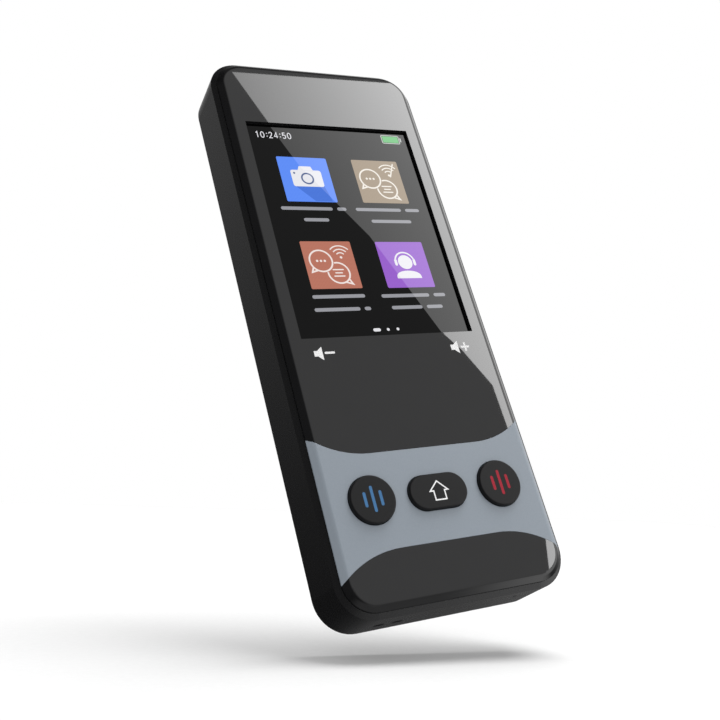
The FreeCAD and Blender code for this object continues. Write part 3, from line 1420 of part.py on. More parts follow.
def make_power_key():
    """Side key in its scoop, and the side switch with its plunger on the board's edge."""
    key = new_body("power_key")
    add(key, "cap", SIDE, lambda sketch: rounded(
        sketch, "power_depth", "power_up", "power_width", "power_length", "power_width / 2 - overcut"),
        "power_flange_out - overcut", "power_face")
    round_edges(key, "cap_round", edges_on(key.Tip.Shape, "X", number("power_face")), "power_round")
    add(key, "flange", SIDE, lambda sketch: rounded(
        sketch, "power_depth", "power_up", "power_width + 2 * power_flange",
        "power_length + 2 * power_flange", "power_flange"),
        "power_flange_in", "power_flange_out")
    add(key, "nub", SIDE, lambda sketch: circle(
        sketch, "power_depth", "power_up", "plunger_radius / 2"),
        "power_plunger_out", "power_flange_in + overcut")
    switch = new_body("power_switch")
    add(switch, "base", SIDE, lambda sketch: rectangle(
        sketch, "board_back", "power_up - power_switch_length / 2",
        "board_back + power_switch_rise", "power_up + power_switch_length / 2"),
        "power_switch_out - power_switch_reach", "power_switch_out")
    cut(switch, "well", SIDE, lambda sketch: circle(
        sketch, "power_depth", "power_up", "power_plunger_radius + plunger_play"),
        "power_switch_out - plunger_sink - power_travel - plunger_end_play", "power_switch_out + overcut")
    plunger = new_body("power_switch_plunger")
    add(plunger, "pin", SIDE, lambda sketch: circle(
        sketch, "power_depth", "power_up", "power_plunger_radius"),
        "power_switch_out - plunger_sink", "power_plunger_out")


def check_and_write():
    """Stop on any failed object or bad solid, then write each sub-part to its own file."""
    DOC.recompute()
    for item in DOC.Objects:
        if "Invalid" in item.State or "Error" in item.State:
            raise ValueError("failed: " + item.Name)
    for part in parts:
        shape = part.Shape
        if shape.isNull() or not shape.isValid() or not shape.Solids:
            raise ValueError("bad shape: " + part.Label)
    os.makedirs("parts", exist_ok=True)
    for part in parts:
        part.Shape.exportStep("parts/" + part.Label + ".step")


make_rear_housing()
make_front_cover()
make_control_band()
make_glass_tape()
make_touch_glass()
make_display()
make_display_ribbon()
make_display_socket()
make_display_foam()
make_main_board()
make_board_screws()
make_chips()
make_antenna()
make_round_key("left_talk_key", "-key_spacing")
make_home_key()
make_round_key("right_talk_key", "key_spacing")
make_key_switch("left_key_switch", "-key_spacing")
make_key_switch("home_key_switch", "0")
make_key_switch("right_key_switch", "key_spacing")
make_battery()
make_speaker()
make_microphone()
make_charging_port()
make_camera()
make_lamp()
make_power_key()
check_and_write()
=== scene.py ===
"""Dress the handheld translator: its finishes, the lit picture of its screen, its marks, and the studio."""
import logging
import math
from dataclasses import dataclass, field
from enum import Enum

import bmesh
import bpy
from mathutils import Matrix, Vector


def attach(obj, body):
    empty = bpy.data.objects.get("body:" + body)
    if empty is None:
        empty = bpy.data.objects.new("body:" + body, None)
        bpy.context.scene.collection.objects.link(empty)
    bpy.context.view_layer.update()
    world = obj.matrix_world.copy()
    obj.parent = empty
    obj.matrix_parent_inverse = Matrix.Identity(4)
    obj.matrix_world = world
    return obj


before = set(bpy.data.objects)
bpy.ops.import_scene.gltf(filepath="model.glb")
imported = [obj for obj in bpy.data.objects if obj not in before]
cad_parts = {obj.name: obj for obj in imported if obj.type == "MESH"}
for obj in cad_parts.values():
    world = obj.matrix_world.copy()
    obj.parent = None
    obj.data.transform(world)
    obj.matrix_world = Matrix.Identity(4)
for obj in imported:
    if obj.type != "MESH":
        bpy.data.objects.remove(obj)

LOG = logging.getLogger("translator")
MM = 0.001
ONE_WAVE = 0.314  # scale at which a wave texture repeats once over one unit
END_STEPS = 8  # edges in the round end of a bar
ARC_STEPS = 20  # edges in an arc
CIRCLE_STEPS = 40  # edges in a circle that is a line
DISC_STEPS = 32  # edges in a filled circle
CORNER_STEPS = 6  # edges in a round corner
COLOUR_A, COLOUR_B, COLOUR_OUT = 6, 7, 2  # sockets of a mix node that mixes colours
LEVEL_A, LEVEL_B = 2, 3  # sockets of a mix node that mixes numbers
Point = tuple[float, float]
Bubble = tuple[float, float, float]


def linear(code: str) -> tuple[float, float, float, float]:
    """Turn an sRGB hex colour into linear light.

    Args:
        code: Six hex digits after a hash sign.

    Returns:
        Red, green, blue and full opacity.
    """
    parts = [int(code[place:place + 2], 16) / 255 for place in (1, 3, 5)]
    light = [part / 12.92 if part <= 0.04045 else ((part + 0.055) / 1.055) ** 2.4 for part in parts]
    return (light[0], light[1], light[2], 1.0)


def add(tree: bpy.types.NodeTree, kind: str, settings: dict | None = None,
        inputs: dict | None = None) -> bpy.types.Node:
    """Add a node with its settings and links.

    Args:
        tree: Tree that gets the node.
        kind: Blender's name for the sort of node.
        settings: Properties of the node itself.
        inputs: Values for its sockets, or sockets of other nodes to link to them.

    Returns:
        The new node.
    """
    node = tree.nodes.new(kind)
    for name, value in (settings or {}).items():
        setattr(node, name, value)
    for socket, value in (inputs or {}).items():
        if isinstance(value, bpy.types.NodeSocket):
            tree.links.new(value, node.inputs[socket])
        else:
            node.inputs[socket].default_value = value
    return node


class Pattern(Enum):
    """Small-scale structure that a surface shows."""

    GRAIN = "fine uneven grain"
    CELLS = "closed cells or crystals"
    WEAVE = "two crossing sets of threads"
    LINES = "straight parallel lines"
    RINGS = "rings round the middle of a round piece"
    TRACKS = "copper tracks and pads under a resist"
    PIXELS = "square grid of picture cells"


@dataclass(frozen=True)
class Finish:
    """One material: what it is made of, its colours, its shine and its pattern.

    The two colours are mixed by the pattern. Each size of the pattern is in millimetres along X, Y and Z.
    """

    name: str
    colour: str
    second: str
    roughness: float
    pattern: Pattern = Pattern.GRAIN
    size: tuple[float, float, float] = (0.4, 0.4, 0.4)
    swing: float = 0.05
    depth: float = 0.0
    metallic: float = 0.0
    ior: float = 1.5
    specular: float = 0.5
    clear: float = 0.0
    coat: float = 0.0
    coat_roughness: float = 0.04
    glow: float = 0.0
    soften: float = 0.0
    middle: tuple[float, float, float] = (0.0, 0.0, 0.0)
    unlit: str = "#020202"

    def pattern_value(self, tree: bpy.types.NodeTree) -> bpy.types.NodeSocket:
        """Add the nodes that draw the pattern.

        Args:
            tree: Tree of the material.

        Returns:
            Socket that runs from 0 to 1 over the pattern.
        """
        place = add(tree, "ShaderNodeTexCoord").outputs["Object"]
        shifted = add(tree, "ShaderNodeVectorMath", {"operation": "SUBTRACT"},
                      {0: place, 1: [part * MM for part in self.middle]}).outputs[0]
        scaled = add(tree, "ShaderNodeMapping", {}, {
            "Vector": shifted, "Scale": [1 / (size * MM) for size in self.size]}).outputs[0]
        if self.pattern is Pattern.CELLS:
            return add(tree, "ShaderNodeTexVoronoi", {}, {"Vector": scaled, "Scale": 1.0}).outputs["Distance"]
        if self.pattern is Pattern.LINES:
            return add(tree, "ShaderNodeTexWave", {"bands_direction": "X"}, {
                "Vector": scaled, "Scale": ONE_WAVE, "Distortion": 0.6, "Detail": 1.0}).outputs["Fac"]
        if self.pattern is Pattern.RINGS:
            return add(tree, "ShaderNodeTexWave", {"wave_type": "RINGS", "rings_direction": "Y"}, {
                "Vector": scaled, "Scale": ONE_WAVE, "Distortion": 0.0}).outputs["Fac"]
        if self.pattern in (Pattern.WEAVE, Pattern.PIXELS):
            waves = [add(tree, "ShaderNodeTexWave", {"bands_direction": axis}, {
                "Vector": scaled, "Scale": ONE_WAVE, "Distortion": 0.0}).outputs["Fac"] for axis in "XZ"]
            way = "MAXIMUM" if self.pattern is Pattern.WEAVE else "MINIMUM"
            return add(tree, "ShaderNodeMath", {"operation": way}, {0: waves[0], 1: waves[1]}).outputs[0]
        if self.pattern is Pattern.TRACKS:
            turned = add(tree, "ShaderNodeMapping", {}, {
                "Vector": scaled, "Rotation": (-math.pi / 2, 0.0, 0.0)}).outputs[0]
            return add(tree, "ShaderNodeTexBrick", {"offset": 0.37, "squash": 1.6}, {
                "Vector": turned, "Scale": 1.0, "Mortar Size": 0.09, "Mortar Smooth": 0.2}).outputs["Fac"]
        return add(tree, "ShaderNodeTexNoise", {}, {
            "Vector": scaled, "Scale": 1.0, "Detail": 3.0, "Roughness": 0.55}).outputs["Fac"]

    def material(self) -> bpy.types.Material:
        """Make the material.

        Returns:
            A node-based material with the finish's name.
        """
        material = bpy.data.materials.new(self.name)
        material.use_nodes = True
        tree = material.node_tree
        tree.nodes.clear()
        value = self.pattern_value(tree)
        colour = add(tree, "ShaderNodeMix", {"data_type": "RGBA"}, {
            "Factor": value, COLOUR_A: linear(self.colour),
            COLOUR_B: linear(self.second)}).outputs[COLOUR_OUT]
        rough = add(tree, "ShaderNodeMapRange", {}, {
            "Value": value, "To Min": max(self.roughness - self.swing, 0.0),
            "To Max": self.roughness + self.swing}).outputs[0]
        inputs: dict = {"Base Color": colour, "Roughness": rough, "Metallic": self.metallic,
                        "Specular IOR Level": self.specular, "Transmission Weight": self.clear,
                        "Coat Weight": self.coat, "Coat Roughness": self.coat_roughness}
        if not self.metallic:
            inputs["IOR"] = self.ior
        if self.glow:
            inputs.update({"Base Color": linear(self.unlit), "Emission Color": colour,
                           "Emission Strength": self.glow})
        normal = None
        if self.soften:
            normal = add(tree, "ShaderNodeBevel", {"samples": 4}, {"Radius": self.soften * MM}).outputs[0]
        if self.depth:
            relief: dict = {"Height": value, "Distance": self.depth * MM}
            if normal:
                relief["Normal"] = normal
            normal = add(tree, "ShaderNodeBump", {}, relief).outputs[0]
        if normal:
            inputs["Normal"] = normal
        surface = add(tree, "ShaderNodeBsdfPrincipled", {}, inputs).outputs[0]
        add(tree, "ShaderNodeOutputMaterial", {}, {"Surface": surface})
        return material


@dataclass
class FlatArt:
    """Thin flat shapes joined into one mesh: a picture element or a printed mark."""

    front: float
    thickness: float
    aside: Point = (0.0, 0.0)
    outlines: list[tuple[list[Point], list[Point]]] = field(default_factory=list)

    def area(self, outline: list[Point]) -> None:
        """Add one filled shape by its outline.

        Args:
            outline: Its corners in order.
        """
        self.outlines.append((outline, []))

    def bar(self, start: Point, end: Point, width: float) -> None:
        """Add a straight bar with round ends.

        Args:
            start: Middle of its first end.
            end: Middle of its last end.
            width: Full width in millimetres.
        """
        lean = math.atan2(end[1] - start[1], end[0] - start[0])
        outline = []
        for middle, turn in ((end, -math.pi / 2), (start, math.pi / 2)):
            for step in range(END_STEPS + 1):
                angle = lean + turn + math.pi * step / END_STEPS
                outline.append((middle[0] + width / 2 * math.cos(angle), middle[1] + width / 2 * math.sin(angle)))
        self.area(outline)

    def stroke(self, path: list[Point], width: float, closed: bool = False) -> None:
        """Add a line of even width along a path, mitred at its corners.

        Args:
            path: Points of its middle line.
            width: Full width in millimetres.
            closed: True where the last point joins the first one.
        """
        count = len(path)
        left, right = [], []
        for place in range(count):
            here = Vector(path[place])
            before = Vector(path[place - 1]) if closed or place else None
            after = Vector(path[(place + 1) % count]) if closed or place < count - 1 else None
            into = (here - before).normalized() if before is not None else (after - here).normalized()
            out = (after - here).normalized() if after is not None else into
            along = (into + out).normalized()
            side = Vector((-along.y, along.x)) * (width / 2 / max(along.dot(into), 0.4))
            left.append(tuple(here + side))
            right.append(tuple(here - side))
        if closed:
            self.outlines.append((left, right))
        else:
            self.area(left + right[::-1])

    def ring(self, middle: Point, radius: float, width: float, start: float = 0.0, sweep: float = 360.0) -> None:
        """Add a circle or an arc as a line.

        Args:
            middle: Its centre.
            radius: Radius of its middle line.
            width: Full width of the line.
            start: Angle in degrees at which an arc begins.
            sweep: Angle in degrees that it covers.
        """
        whole = sweep >= 360.0
        steps = CIRCLE_STEPS if whole else ARC_STEPS
        angles = [math.radians(start + sweep * step / steps) for step in range(steps if whole else steps + 1)]
        self.stroke([(middle[0] + radius * math.cos(a), middle[1] + radius * math.sin(a)) for a in angles],
                    width, whole)

    def disc(self, middle: Point, radius: float) -> None:
        """Add a filled circle.

        Args:
            middle: Its middle.
            radius: Its radius in millimetres.
        """
        self.area([(middle[0] + radius * math.cos(math.tau * step / DISC_STEPS),
                    middle[1] + radius * math.sin(math.tau * step / DISC_STEPS)) for step in range(DISC_STEPS)])

    def rounded(self, low: Point, high: Point, radius: float, line: float = 0.0) -> None:
        """Add a rectangle with round corners, filled or as a line.

        Args:
            low: Its lower left corner.
            high: Its upper right corner.
            radius: Radius of its corners.
            line: Width of its line, or 0 for a filled shape.
        """
        outline = []
        corners = ((high[0] - radius, high[1] - radius, 0), (low[0] + radius, high[1] - radius, 90),
                   (low[0] + radius, low[1] + radius, 180), (high[0] - radius, low[1] + radius, 270))
        for across, up, turn in corners:
            for step in range(CORNER_STEPS + 1):
                angle = math.radians(turn + 90 * step / CORNER_STEPS)
                outline.append((across + radius * math.cos(angle), up + radius * math.sin(angle)))
        if line:
            self.stroke(outline, line, True)
        else:
            self.area(outline)

    def piece(self, name: str, body: str, slot: str, finish: Finish) -> bpy.types.Object:
        """Build the shapes as one mesh and fasten it to a body.

        Args:
            name: Name of the piece.
            body: CAD body that it rides on.
            slot: Not used.
            finish: Its finish.

        Returns:
            The new object.
        """
        mesh = bpy.data.meshes.new(name)
        shape = bmesh.new()
        for outline, inner in self.outlines:
            loops = [outline, inner] if inner else [outline]
            rows = [[[shape.verts.new(((x + self.aside[0]) * MM, (self.front + layer) * MM, (z + self.aside[1]) * MM))
                      for x, z in loop]
                     for loop in loops] for layer in (0.0, self.thickness)]
            for row in rows:
                if inner:
                    for place in range(len(outline)):
                        after = (place + 1) % len(outline)
                        shape.faces.new((row[0][place], row[0][after], row[1][after], row[1][place]))
                else:
                    shape.faces.new(row[0])
            for loop in range(len(loops)):
                for place in range(len(outline)):
                    after = (place + 1) % len(outline)
                    shape.faces.new((rows[0][loop][place], rows[0][loop][after],
                                     rows[1][loop][after], rows[1][loop][place]))
        bmesh.ops.recalc_face_normals(shape, faces=shape.faces)
        bmesh.ops.triangulate(shape, faces=shape.faces)
        shape.to_mesh(mesh)
        shape.free()
        piece = bpy.data.objects.new(name, mesh)
        bpy.context.scene.collection.objects.link(piece)
        piece.data.materials.append(finish.material())
        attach(piece, body)
        return piece


class Assembly:
    """A sub-assembly whose CAD nodes are dressed with finishes."""

    finishes: dict[Finish, tuple[str, ...]] = {}

    def dress(self) -> None:
        """Put each finish into the material slots of its nodes."""
        for finish, names in self.finishes.items():
            material = finish.material()
            for name in names:
                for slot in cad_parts[name].material_slots:
                    slot.material = material

    def build(self) -> None:
        """Dress the nodes."""
        self.dress()


@dataclass
class Casing(Assembly):
    """Rear housing, front cover and the slate band, with the marks printed on the face."""

    face: float = -6.7
    print_film: float = 0.02
    line: float = 0.5
    speaker: tuple[Point, ...] = ((0.0, -0.65), (0.0, 0.65), (0.8, 0.65), (2.0, 1.6), (2.0, -1.6), (0.8, -0.65))
    minus: tuple[Point, Point] = ((-17.0, 56.6), (-15.0, 56.6))
    plus: Point = (18.4, 56.3)
    plus_reach: float = 1.1
    speaker_left: Point = (-19.7, 56.5)
    speaker_right: Point = (14.6, 56.3)
    finishes = {
        # ABS moulded in a spark-eroded tool: a dense matt grain that breaks reflections into a grey sheen.
        Finish("ABS, moulded with a fine spark-eroded grain", "#121213", "#19191a", 0.26, size=(0.35, 0.35, 0.35),
               depth=0.008, soften=0.12): ("rear_housing",),
        # ABS moulded in a polished tool: near black, with crisp reflections and a faint waviness.
        Finish("ABS, moulded in a polished tool", "#101011", "#151516", 0.012, size=(6.0, 6.0, 6.0),
               swing=0.006): ("front_cover",),
        # ABS under a satin slate paint: an even blue-grey with a soft sheen and the paint's own fine speckle.
        Finish("ABS, sprayed with satin slate paint", "#8a929b", "#818a93", 0.36, size=(0.3, 0.3, 0.3),
               depth=0.004, soften=0.1): ("control_band",),
    }
    ink: Finish = Finish("Ink, pad printed in white", "#f2f2f2", "#dcdcdc", 0.5, size=(0.15, 0.15, 0.15))

    def volume_marks(self) -> None:
        """Print a loudspeaker with a minus on the left and one with a plus on the right."""
        for name, at in (("volume_down_mark", self.speaker_left), ("volume_up_mark", self.speaker_right)):
            art = FlatArt(self.face - self.print_film, self.print_film)
            art.area([(at[0] + across, at[1] + up) for across, up in self.speaker])
            if name == "volume_down_mark":
                art.bar(self.minus[0], self.minus[1], self.line)
            else:
                (across, up), reach = self.plus, self.plus_reach
                half = self.line / 2
                art.area([(across + a, up + b) for a, b in (
                    (half, half), (half, reach), (-half, reach), (-half, half), (-reach, half), (-reach, -half),
                    (-half, -half), (-half, -reach), (half, -reach), (half, -half), (reach, -half), (reach, half))])
            art.piece(name, "casing", "cover_plastic", self.ink)

    def build(self) -> None:
        """Dress the casing and print its marks."""
        self.dress()
        self.volume_marks()


@dataclass
class ControlKeys(Assembly):
    """The three front keys and the side key, with their printed marks and their switches."""

    top: float = -7.6
    film: float = 0.015
    up: float = 23.1
    spacing: float = 15.5
    bar_width: float = 0.66
    arrow_line: float = 0.3
    bars: tuple[tuple[float, float, float], ...] = ((-1.8, -1.25, 1.3), (0.0, -2.45, 2.45), (1.85, -1.3, 1.3))
    arrow: tuple[Point, ...] = ((0.0, 2.05), (-2.15, 0.0), (-1.3, 0.0), (-1.3, -2.0), (1.3, -2.0),
                                (1.3, 0.0), (2.15, 0.0))
    finishes = {
        # Silicone-coated ABS: a soft black that hardly reflects, with a very fine even grain.
        Finish("ABS key, coated in soft-touch black", "#101011", "#161617", 0.42, size=(0.25, 0.25, 0.25),
               depth=0.004, soften=0.1, specular=0.2):
            ("left_talk_key", "home_key", "right_talk_key", "power_key"),
        # PBT moulded to close sizes: plain black with flow grain.
        Finish("PBT switch body, moulded", "#1c1c1e", "#2a2a2c", 0.45, size=(0.3, 0.3, 0.9), depth=0.006):
            ("left_key_switch", "home_key_switch", "right_key_switch", "power_switch"),
        # Acetal: waxy off-white with a low broad sheen.
        Finish("Acetal plunger, moulded", "#c9c4b8", "#d8d4c9", 0.35, size=(0.5, 0.5, 0.5), depth=0.003):
            ("left_key_switch_plunger", "home_key_switch_plunger", "right_key_switch_plunger",
             "power_switch_plunger"),
    }

    def marks(self) -> None:
        """Print three bars on each talk key and an upright arrow on the middle one."""
        inks = {
            "left_talk": (-self.spacing, Finish("Ink, pad printed in blue", "#4675a2", "#3d6a95", 0.45,
                                                size=(0.15, 0.15, 0.15), specular=0.2)),
            "right_talk": (self.spacing, Finish("Ink, pad printed in red", "#a42434", "#941e2d", 0.45,
                                                size=(0.15, 0.15, 0.15), specular=0.2)),
        }
        for side, (middle, ink) in inks.items():
            art = FlatArt(self.top - self.film, self.film)
            for across, low, high in self.bars:
                art.bar((middle + across, self.up + low), (middle + across, self.up + high), self.bar_width)
            art.piece(side + "_mark", side + "_button", "key_plastic", ink)
        art = FlatArt(self.top - self.film, self.film)
        art.stroke([(across, self.up + up) for across, up in self.arrow], self.arrow_line, True)
        art.piece("home_mark", "home_button", "key_plastic", Finish(
            "Ink, pad printed in white", "#f4f4f4", "#e0e0e0", 0.45, size=(0.15, 0.15, 0.15)))

    def build(self) -> None:
        """Dress the keys and print their marks."""
        self.dress()
        self.marks()


class Tile(Enum):
    """The four menu tiles of the picture: low corner, high corner, colour and darker colour."""

    CAMERA = ((-15.6, 96.6), (-2.7, 109.3), "#5f8ff8", "#5484ee")
    GROUP = ((4.1, 96.7), (16.8, 109.3), "#a3927c", "#958470")
    TALK = ((-15.4, 73.2), (-2.7, 85.7), "#bb7663", "#ad6a58")
    HELPER = ((3.9, 73.1), (16.6, 85.6), "#9a62ce", "#8e57c2")


@dataclass
class Display(Assembly):
    """Touch glass, display cell and what lies behind it, and the lit picture."""

    picture: float = -5.865
    sheet: float = 0.012
    step: float = 0.01
    aside: Point = (-0.36, -0.38)
    line: float = 0.4
    label_height: float = 0.9
    camera_shade: tuple[Point, ...] = ((-12.7, 101.2), (-8.3, 96.8), (-3.9, 96.8), (-5.1, 101.2))
    camera_body: tuple[Point, Point, float] = ((-12.9, 100.9), (-5.0, 105.6), 0.6)
    camera_hump: tuple[Point, ...] = ((-11.0, 105.3), (-10.4, 106.7), (-7.4, 106.7), (-6.8, 105.3))
    camera_ring: tuple[Point, float, float] = ((-8.9, 103.2), 1.45, 0.42)
    camera_dot: tuple[Point, float] = ((-12.0, 104.7), 0.28)
    group_bubbles: tuple[Bubble, Bubble] = ((7.97, 103.8, 2.75), (11.9, 100.8, 2.65))
    group_waves: Point = (13.6, 105.0)
    group_bar: tuple[Point, Point] = ((15.5, 108.4), (13.9, 104.6))
    talk_bubbles: tuple[Bubble, Bubble] = ((-11.3, 80.5, 2.8), (-7.6, 77.3, 2.7))
    talk_waves: Point = (-6.0, 81.4)
    front_tail: tuple[Point, ...] = ((0.8, 0.55), (1.0, 1.05), (0.45, 0.88))
    back_tail: tuple[Point, ...] = ((0.8, 0.6), (1.05, 1.1), (0.4, 0.9))
    bubble_gap: float = 0.35
    wave_reach: float = 3.1
    wave_dot: float = 0.32
    wave_arc: Point = (42.0, 96.0)
    head: Bubble = (10.5, 80.0, 1.9)
    headset: tuple[Point, float, float, float] = ((10.5, 80.1), 2.55, 10.0, 160.0)
    ear_pad: tuple[float, float, float, float] = (2.5, 79.4, 80.5, 0.7)
    shoulders: tuple[float, float, float] = (3.3, 1.95, 75.7)
    digit: Point = (0.85, 1.65)
    digit_line: float = 0.22
    colon_dot: float = 0.15
    cell: float = 0.36
    tile_corner: float = 0.35
    battery_case: tuple[Point, Point, float, float] = ((14.8, 114.95), (19.75, 117.35), 0.3, 0.22)
    battery_tip: tuple[Point, Point, float] = ((20.2, 115.7), (20.2, 116.6), 0.36)
    battery_fill: tuple[Point, Point, float] = ((15.05, 115.2), (19.5, 117.1), 0.12)
    page_bar: tuple[Point, Point, float] = ((-2.7, 62.4), (-1.6, 62.4), 0.8)
    page_dots: tuple[tuple[Point, float], ...] = (((0.7, 62.4), 0.36), ((3.2, 62.4), 0.36))
    digit_pitch: float = 1.32
    clock_at: Point = (-19.3, 114.7)
    labels: tuple[tuple[float, tuple[float, ...]], ...] = (
        (94.7, (-17.7, -4.6, -3.4, -1.0)), (91.6, (-12.7, -6.3)),
        (94.7, (1.5, 13.8, 15.0, 18.9)), (91.4, (4.8, 15.7)),
        (71.2, (-15.8, -2.7)), (67.9, (-16.1, -4.8, -3.7, -2.1)),
        (71.0, (1.5, 14.2, 15.4, 18.6)), (67.9, (3.3, 11.4, 12.6, 16.9)))
    finishes = {
        # Strengthened glass, bonded to a dark cell and coated: black, dead flat and only faintly mirrored. It is
        # drawn without depth, because the bonded picture seems to lie on its face.
        Finish("Glass, strengthened, coated and bonded", "#060607", "#0a0a0b", 0.0, Pattern.PIXELS,
               (0.36, 0.36, 0.36), swing=0.0, specular=0.13, glow=0.1): ("touch_glass",),
        # Unlit liquid crystal cell behind a polariser: deep black with a trace of backlight.
        Finish("Display cell, laminated under a polariser", "#060607", "#0a0a0b", 0.4, Pattern.PIXELS,
               (0.36, 0.36, 0.36), specular=0.0, glow=0.15): ("lcd_panel",),
        # Acrylic sheet, edge lit: milky and faintly dotted.
        Finish("Acrylic light guide, with etched dots", "#e9edf0", "#cfd6dc", 0.2, Pattern.CELLS, (0.5, 0.5, 0.5),
               depth=0.01): ("light_guide",),
        # Stainless strip, rolled and pressed: fine lines along the rolling.
        Finish("Stainless steel, rolled and pressed", "#b9bbbd", "#a5a8ab", 0.3, size=(0.2, 0.2, 6.0),
               metallic=1.0, depth=0.002): ("display_tray",),
        # Polyimide film over copper: amber with darker conductors along it.
        Finish("Polyimide film, laminated over copper tracks", "#b0661c", "#7d4310", 0.3, Pattern.LINES,
               (0.4, 0.4, 0.4), depth=0.006): ("display_ribbon",),
        # Nylon with glass fibre: off-white with a flow grain.
        Finish("Nylon connector, moulded", "#ded9cb", "#cfc9b9", 0.45, size=(0.3, 0.3, 1.2), depth=0.006):
            ("display_socket",),
        # Polyurethane foam: matt dark grey and full of small cells.
        Finish("Polyurethane foam, die cut", "#2c2d30", "#4a4b4f", 0.9, Pattern.CELLS, (0.35, 0.35, 0.35),
               depth=0.12): ("display_foam",),
        # Acrylic foam tape: dull black with a slight stipple.
        Finish("Acrylic tape, die cut", "#101011", "#1c1c1d", 0.7, size=(0.3, 0.3, 0.3), depth=0.01):
            ("glass_tape", "battery_tape"),
    }

    def lit(self, name: str, colour: str, second: str) -> Finish:
        """Give a finish for a lit part of the picture, whose cells are drawn large enough to show.

        Args:
            name: What the part is.
            colour: Its main colour.
            second: Colour between its cells.

        Returns:
            The finish.
        """
        return Finish("Display cell, lit, " + name, colour, second, 0.0, Pattern.PIXELS, (self.cell,) * 3,
                      swing=0.0, specular=0.13, glow=1.0)

    def layer(self, steps: float) -> FlatArt:
        """Start a drawing in front of the tiles.

        Args:
            steps: How many steps in front of them it lies.

        Returns:
            The empty drawing.
        """
        return FlatArt(self.picture - steps * self.step, self.sheet, self.aside)

    def bubbles(self, art: FlatArt, first: Bubble, second: Bubble) -> None:
        """Draw two speech bubbles, the second one partly behind the first.

        Args:
            art: Drawing that gets them.
            first: Middle and radius of the front bubble.
            second: Middle and radius of the back bubble.
        """
        x, z, radius = first
        art.ring((x, z), radius, self.line)
        art.stroke([(x - radius * across, z - radius * down) for across, down in self.front_tail], self.line)
        reach = math.hypot(second[0] - x, second[1] - z)
        towards = math.degrees(math.atan2(z - second[1], x - second[0]))
        cosine = (reach ** 2 + second[2] ** 2 - (radius + self.bubble_gap) ** 2) / (2 * reach * second[2])
        hidden = math.degrees(math.acos(max(-1.0, min(1.0, cosine))))
        art.ring((second[0], second[1]), second[2], self.line, towards + hidden, 360 - 2 * hidden - 0.1)
        x, z, radius = second
        art.stroke([(x + radius * across, z - radius * down) for across, down in self.back_tail], self.line)
        for place in (-1, 0, 1):
            art.disc((first[0] + place * 0.95, first[1]), 0.3)
            reach = 1.25 if place else 0.8
            art.bar((x - reach, z - place * 0.85), (x + reach, z - place * 0.85), self.line * 0.8)

    def waves(self, art: FlatArt, base: Point) -> None:
        """Draw a dot with three arcs over it.

        Args:
            art: Drawing that gets them.
            base: Middle of the dot.
        """
        art.disc(base, self.wave_dot)
        for part in (0.4, 0.7, 1.0):
            art.ring(base, self.wave_reach * part, self.line * 0.75, *self.wave_arc)

    def icons(self) -> None:
        """Draw the white pictogram of each tile, with the dim shape that sets it off."""
        white = self.lit("white line", "#ececf0", "#dedee6")
        art = self.layer(0.5)
        art.area(list(self.camera_shade))
        art.piece("camera_tile_shade", "casing", "display_cell", self.lit("blue shade", "#4a78dc", "#416ed0"))
        art = self.layer(1)
        art.rounded(*self.camera_body)
        art.area(list(self.camera_hump))
        art.piece("camera_icon", "casing", "display_cell", white)
        art = self.layer(2)
        art.ring(*self.camera_ring)
        art.disc(*self.camera_dot)
        art.piece("camera_icon_lens", "casing", "display_cell", self.lit("blue ring", "#5f6f98", "#54648c"))
        art = self.layer(1)
        self.bubbles(art, *self.group_bubbles)
        self.waves(art, self.group_waves)
        art.bar(*self.group_bar, self.line * 0.8)
        art.piece("group_icon", "casing", "display_cell", self.lit("cream line", "#f0ebe2", "#e6dfd4"))
        art = self.layer(1)
        self.bubbles(art, *self.talk_bubbles)
        self.waves(art, self.talk_waves)
        art.piece("talk_icon", "casing", "display_cell", self.lit("rose line", "#f2e6e2", "#e8dad4"))
        art = self.layer(1)
        x, z, radius = self.head
        art.disc((x, z), radius)
        middle, reach, start, sweep = self.headset
        art.ring(middle, reach, self.line, start, sweep)
        out, low, high, width = self.ear_pad
        for side in (-1, 1):
            art.bar((x + side * out, low), (x + side * out, high), width)
        half, rise, base = self.shoulders
        turns = [math.pi * step / 16 for step in range(1, 16)]
        dome = [(x + half * math.cos(turn), base + rise * math.sin(turn) ** 0.7) for turn in turns]
        art.area([(x + half, base - 0.1)] + dome + [(x - half, base - 0.1)])
        art.piece("helper_icon", "casing", "display_cell", white)

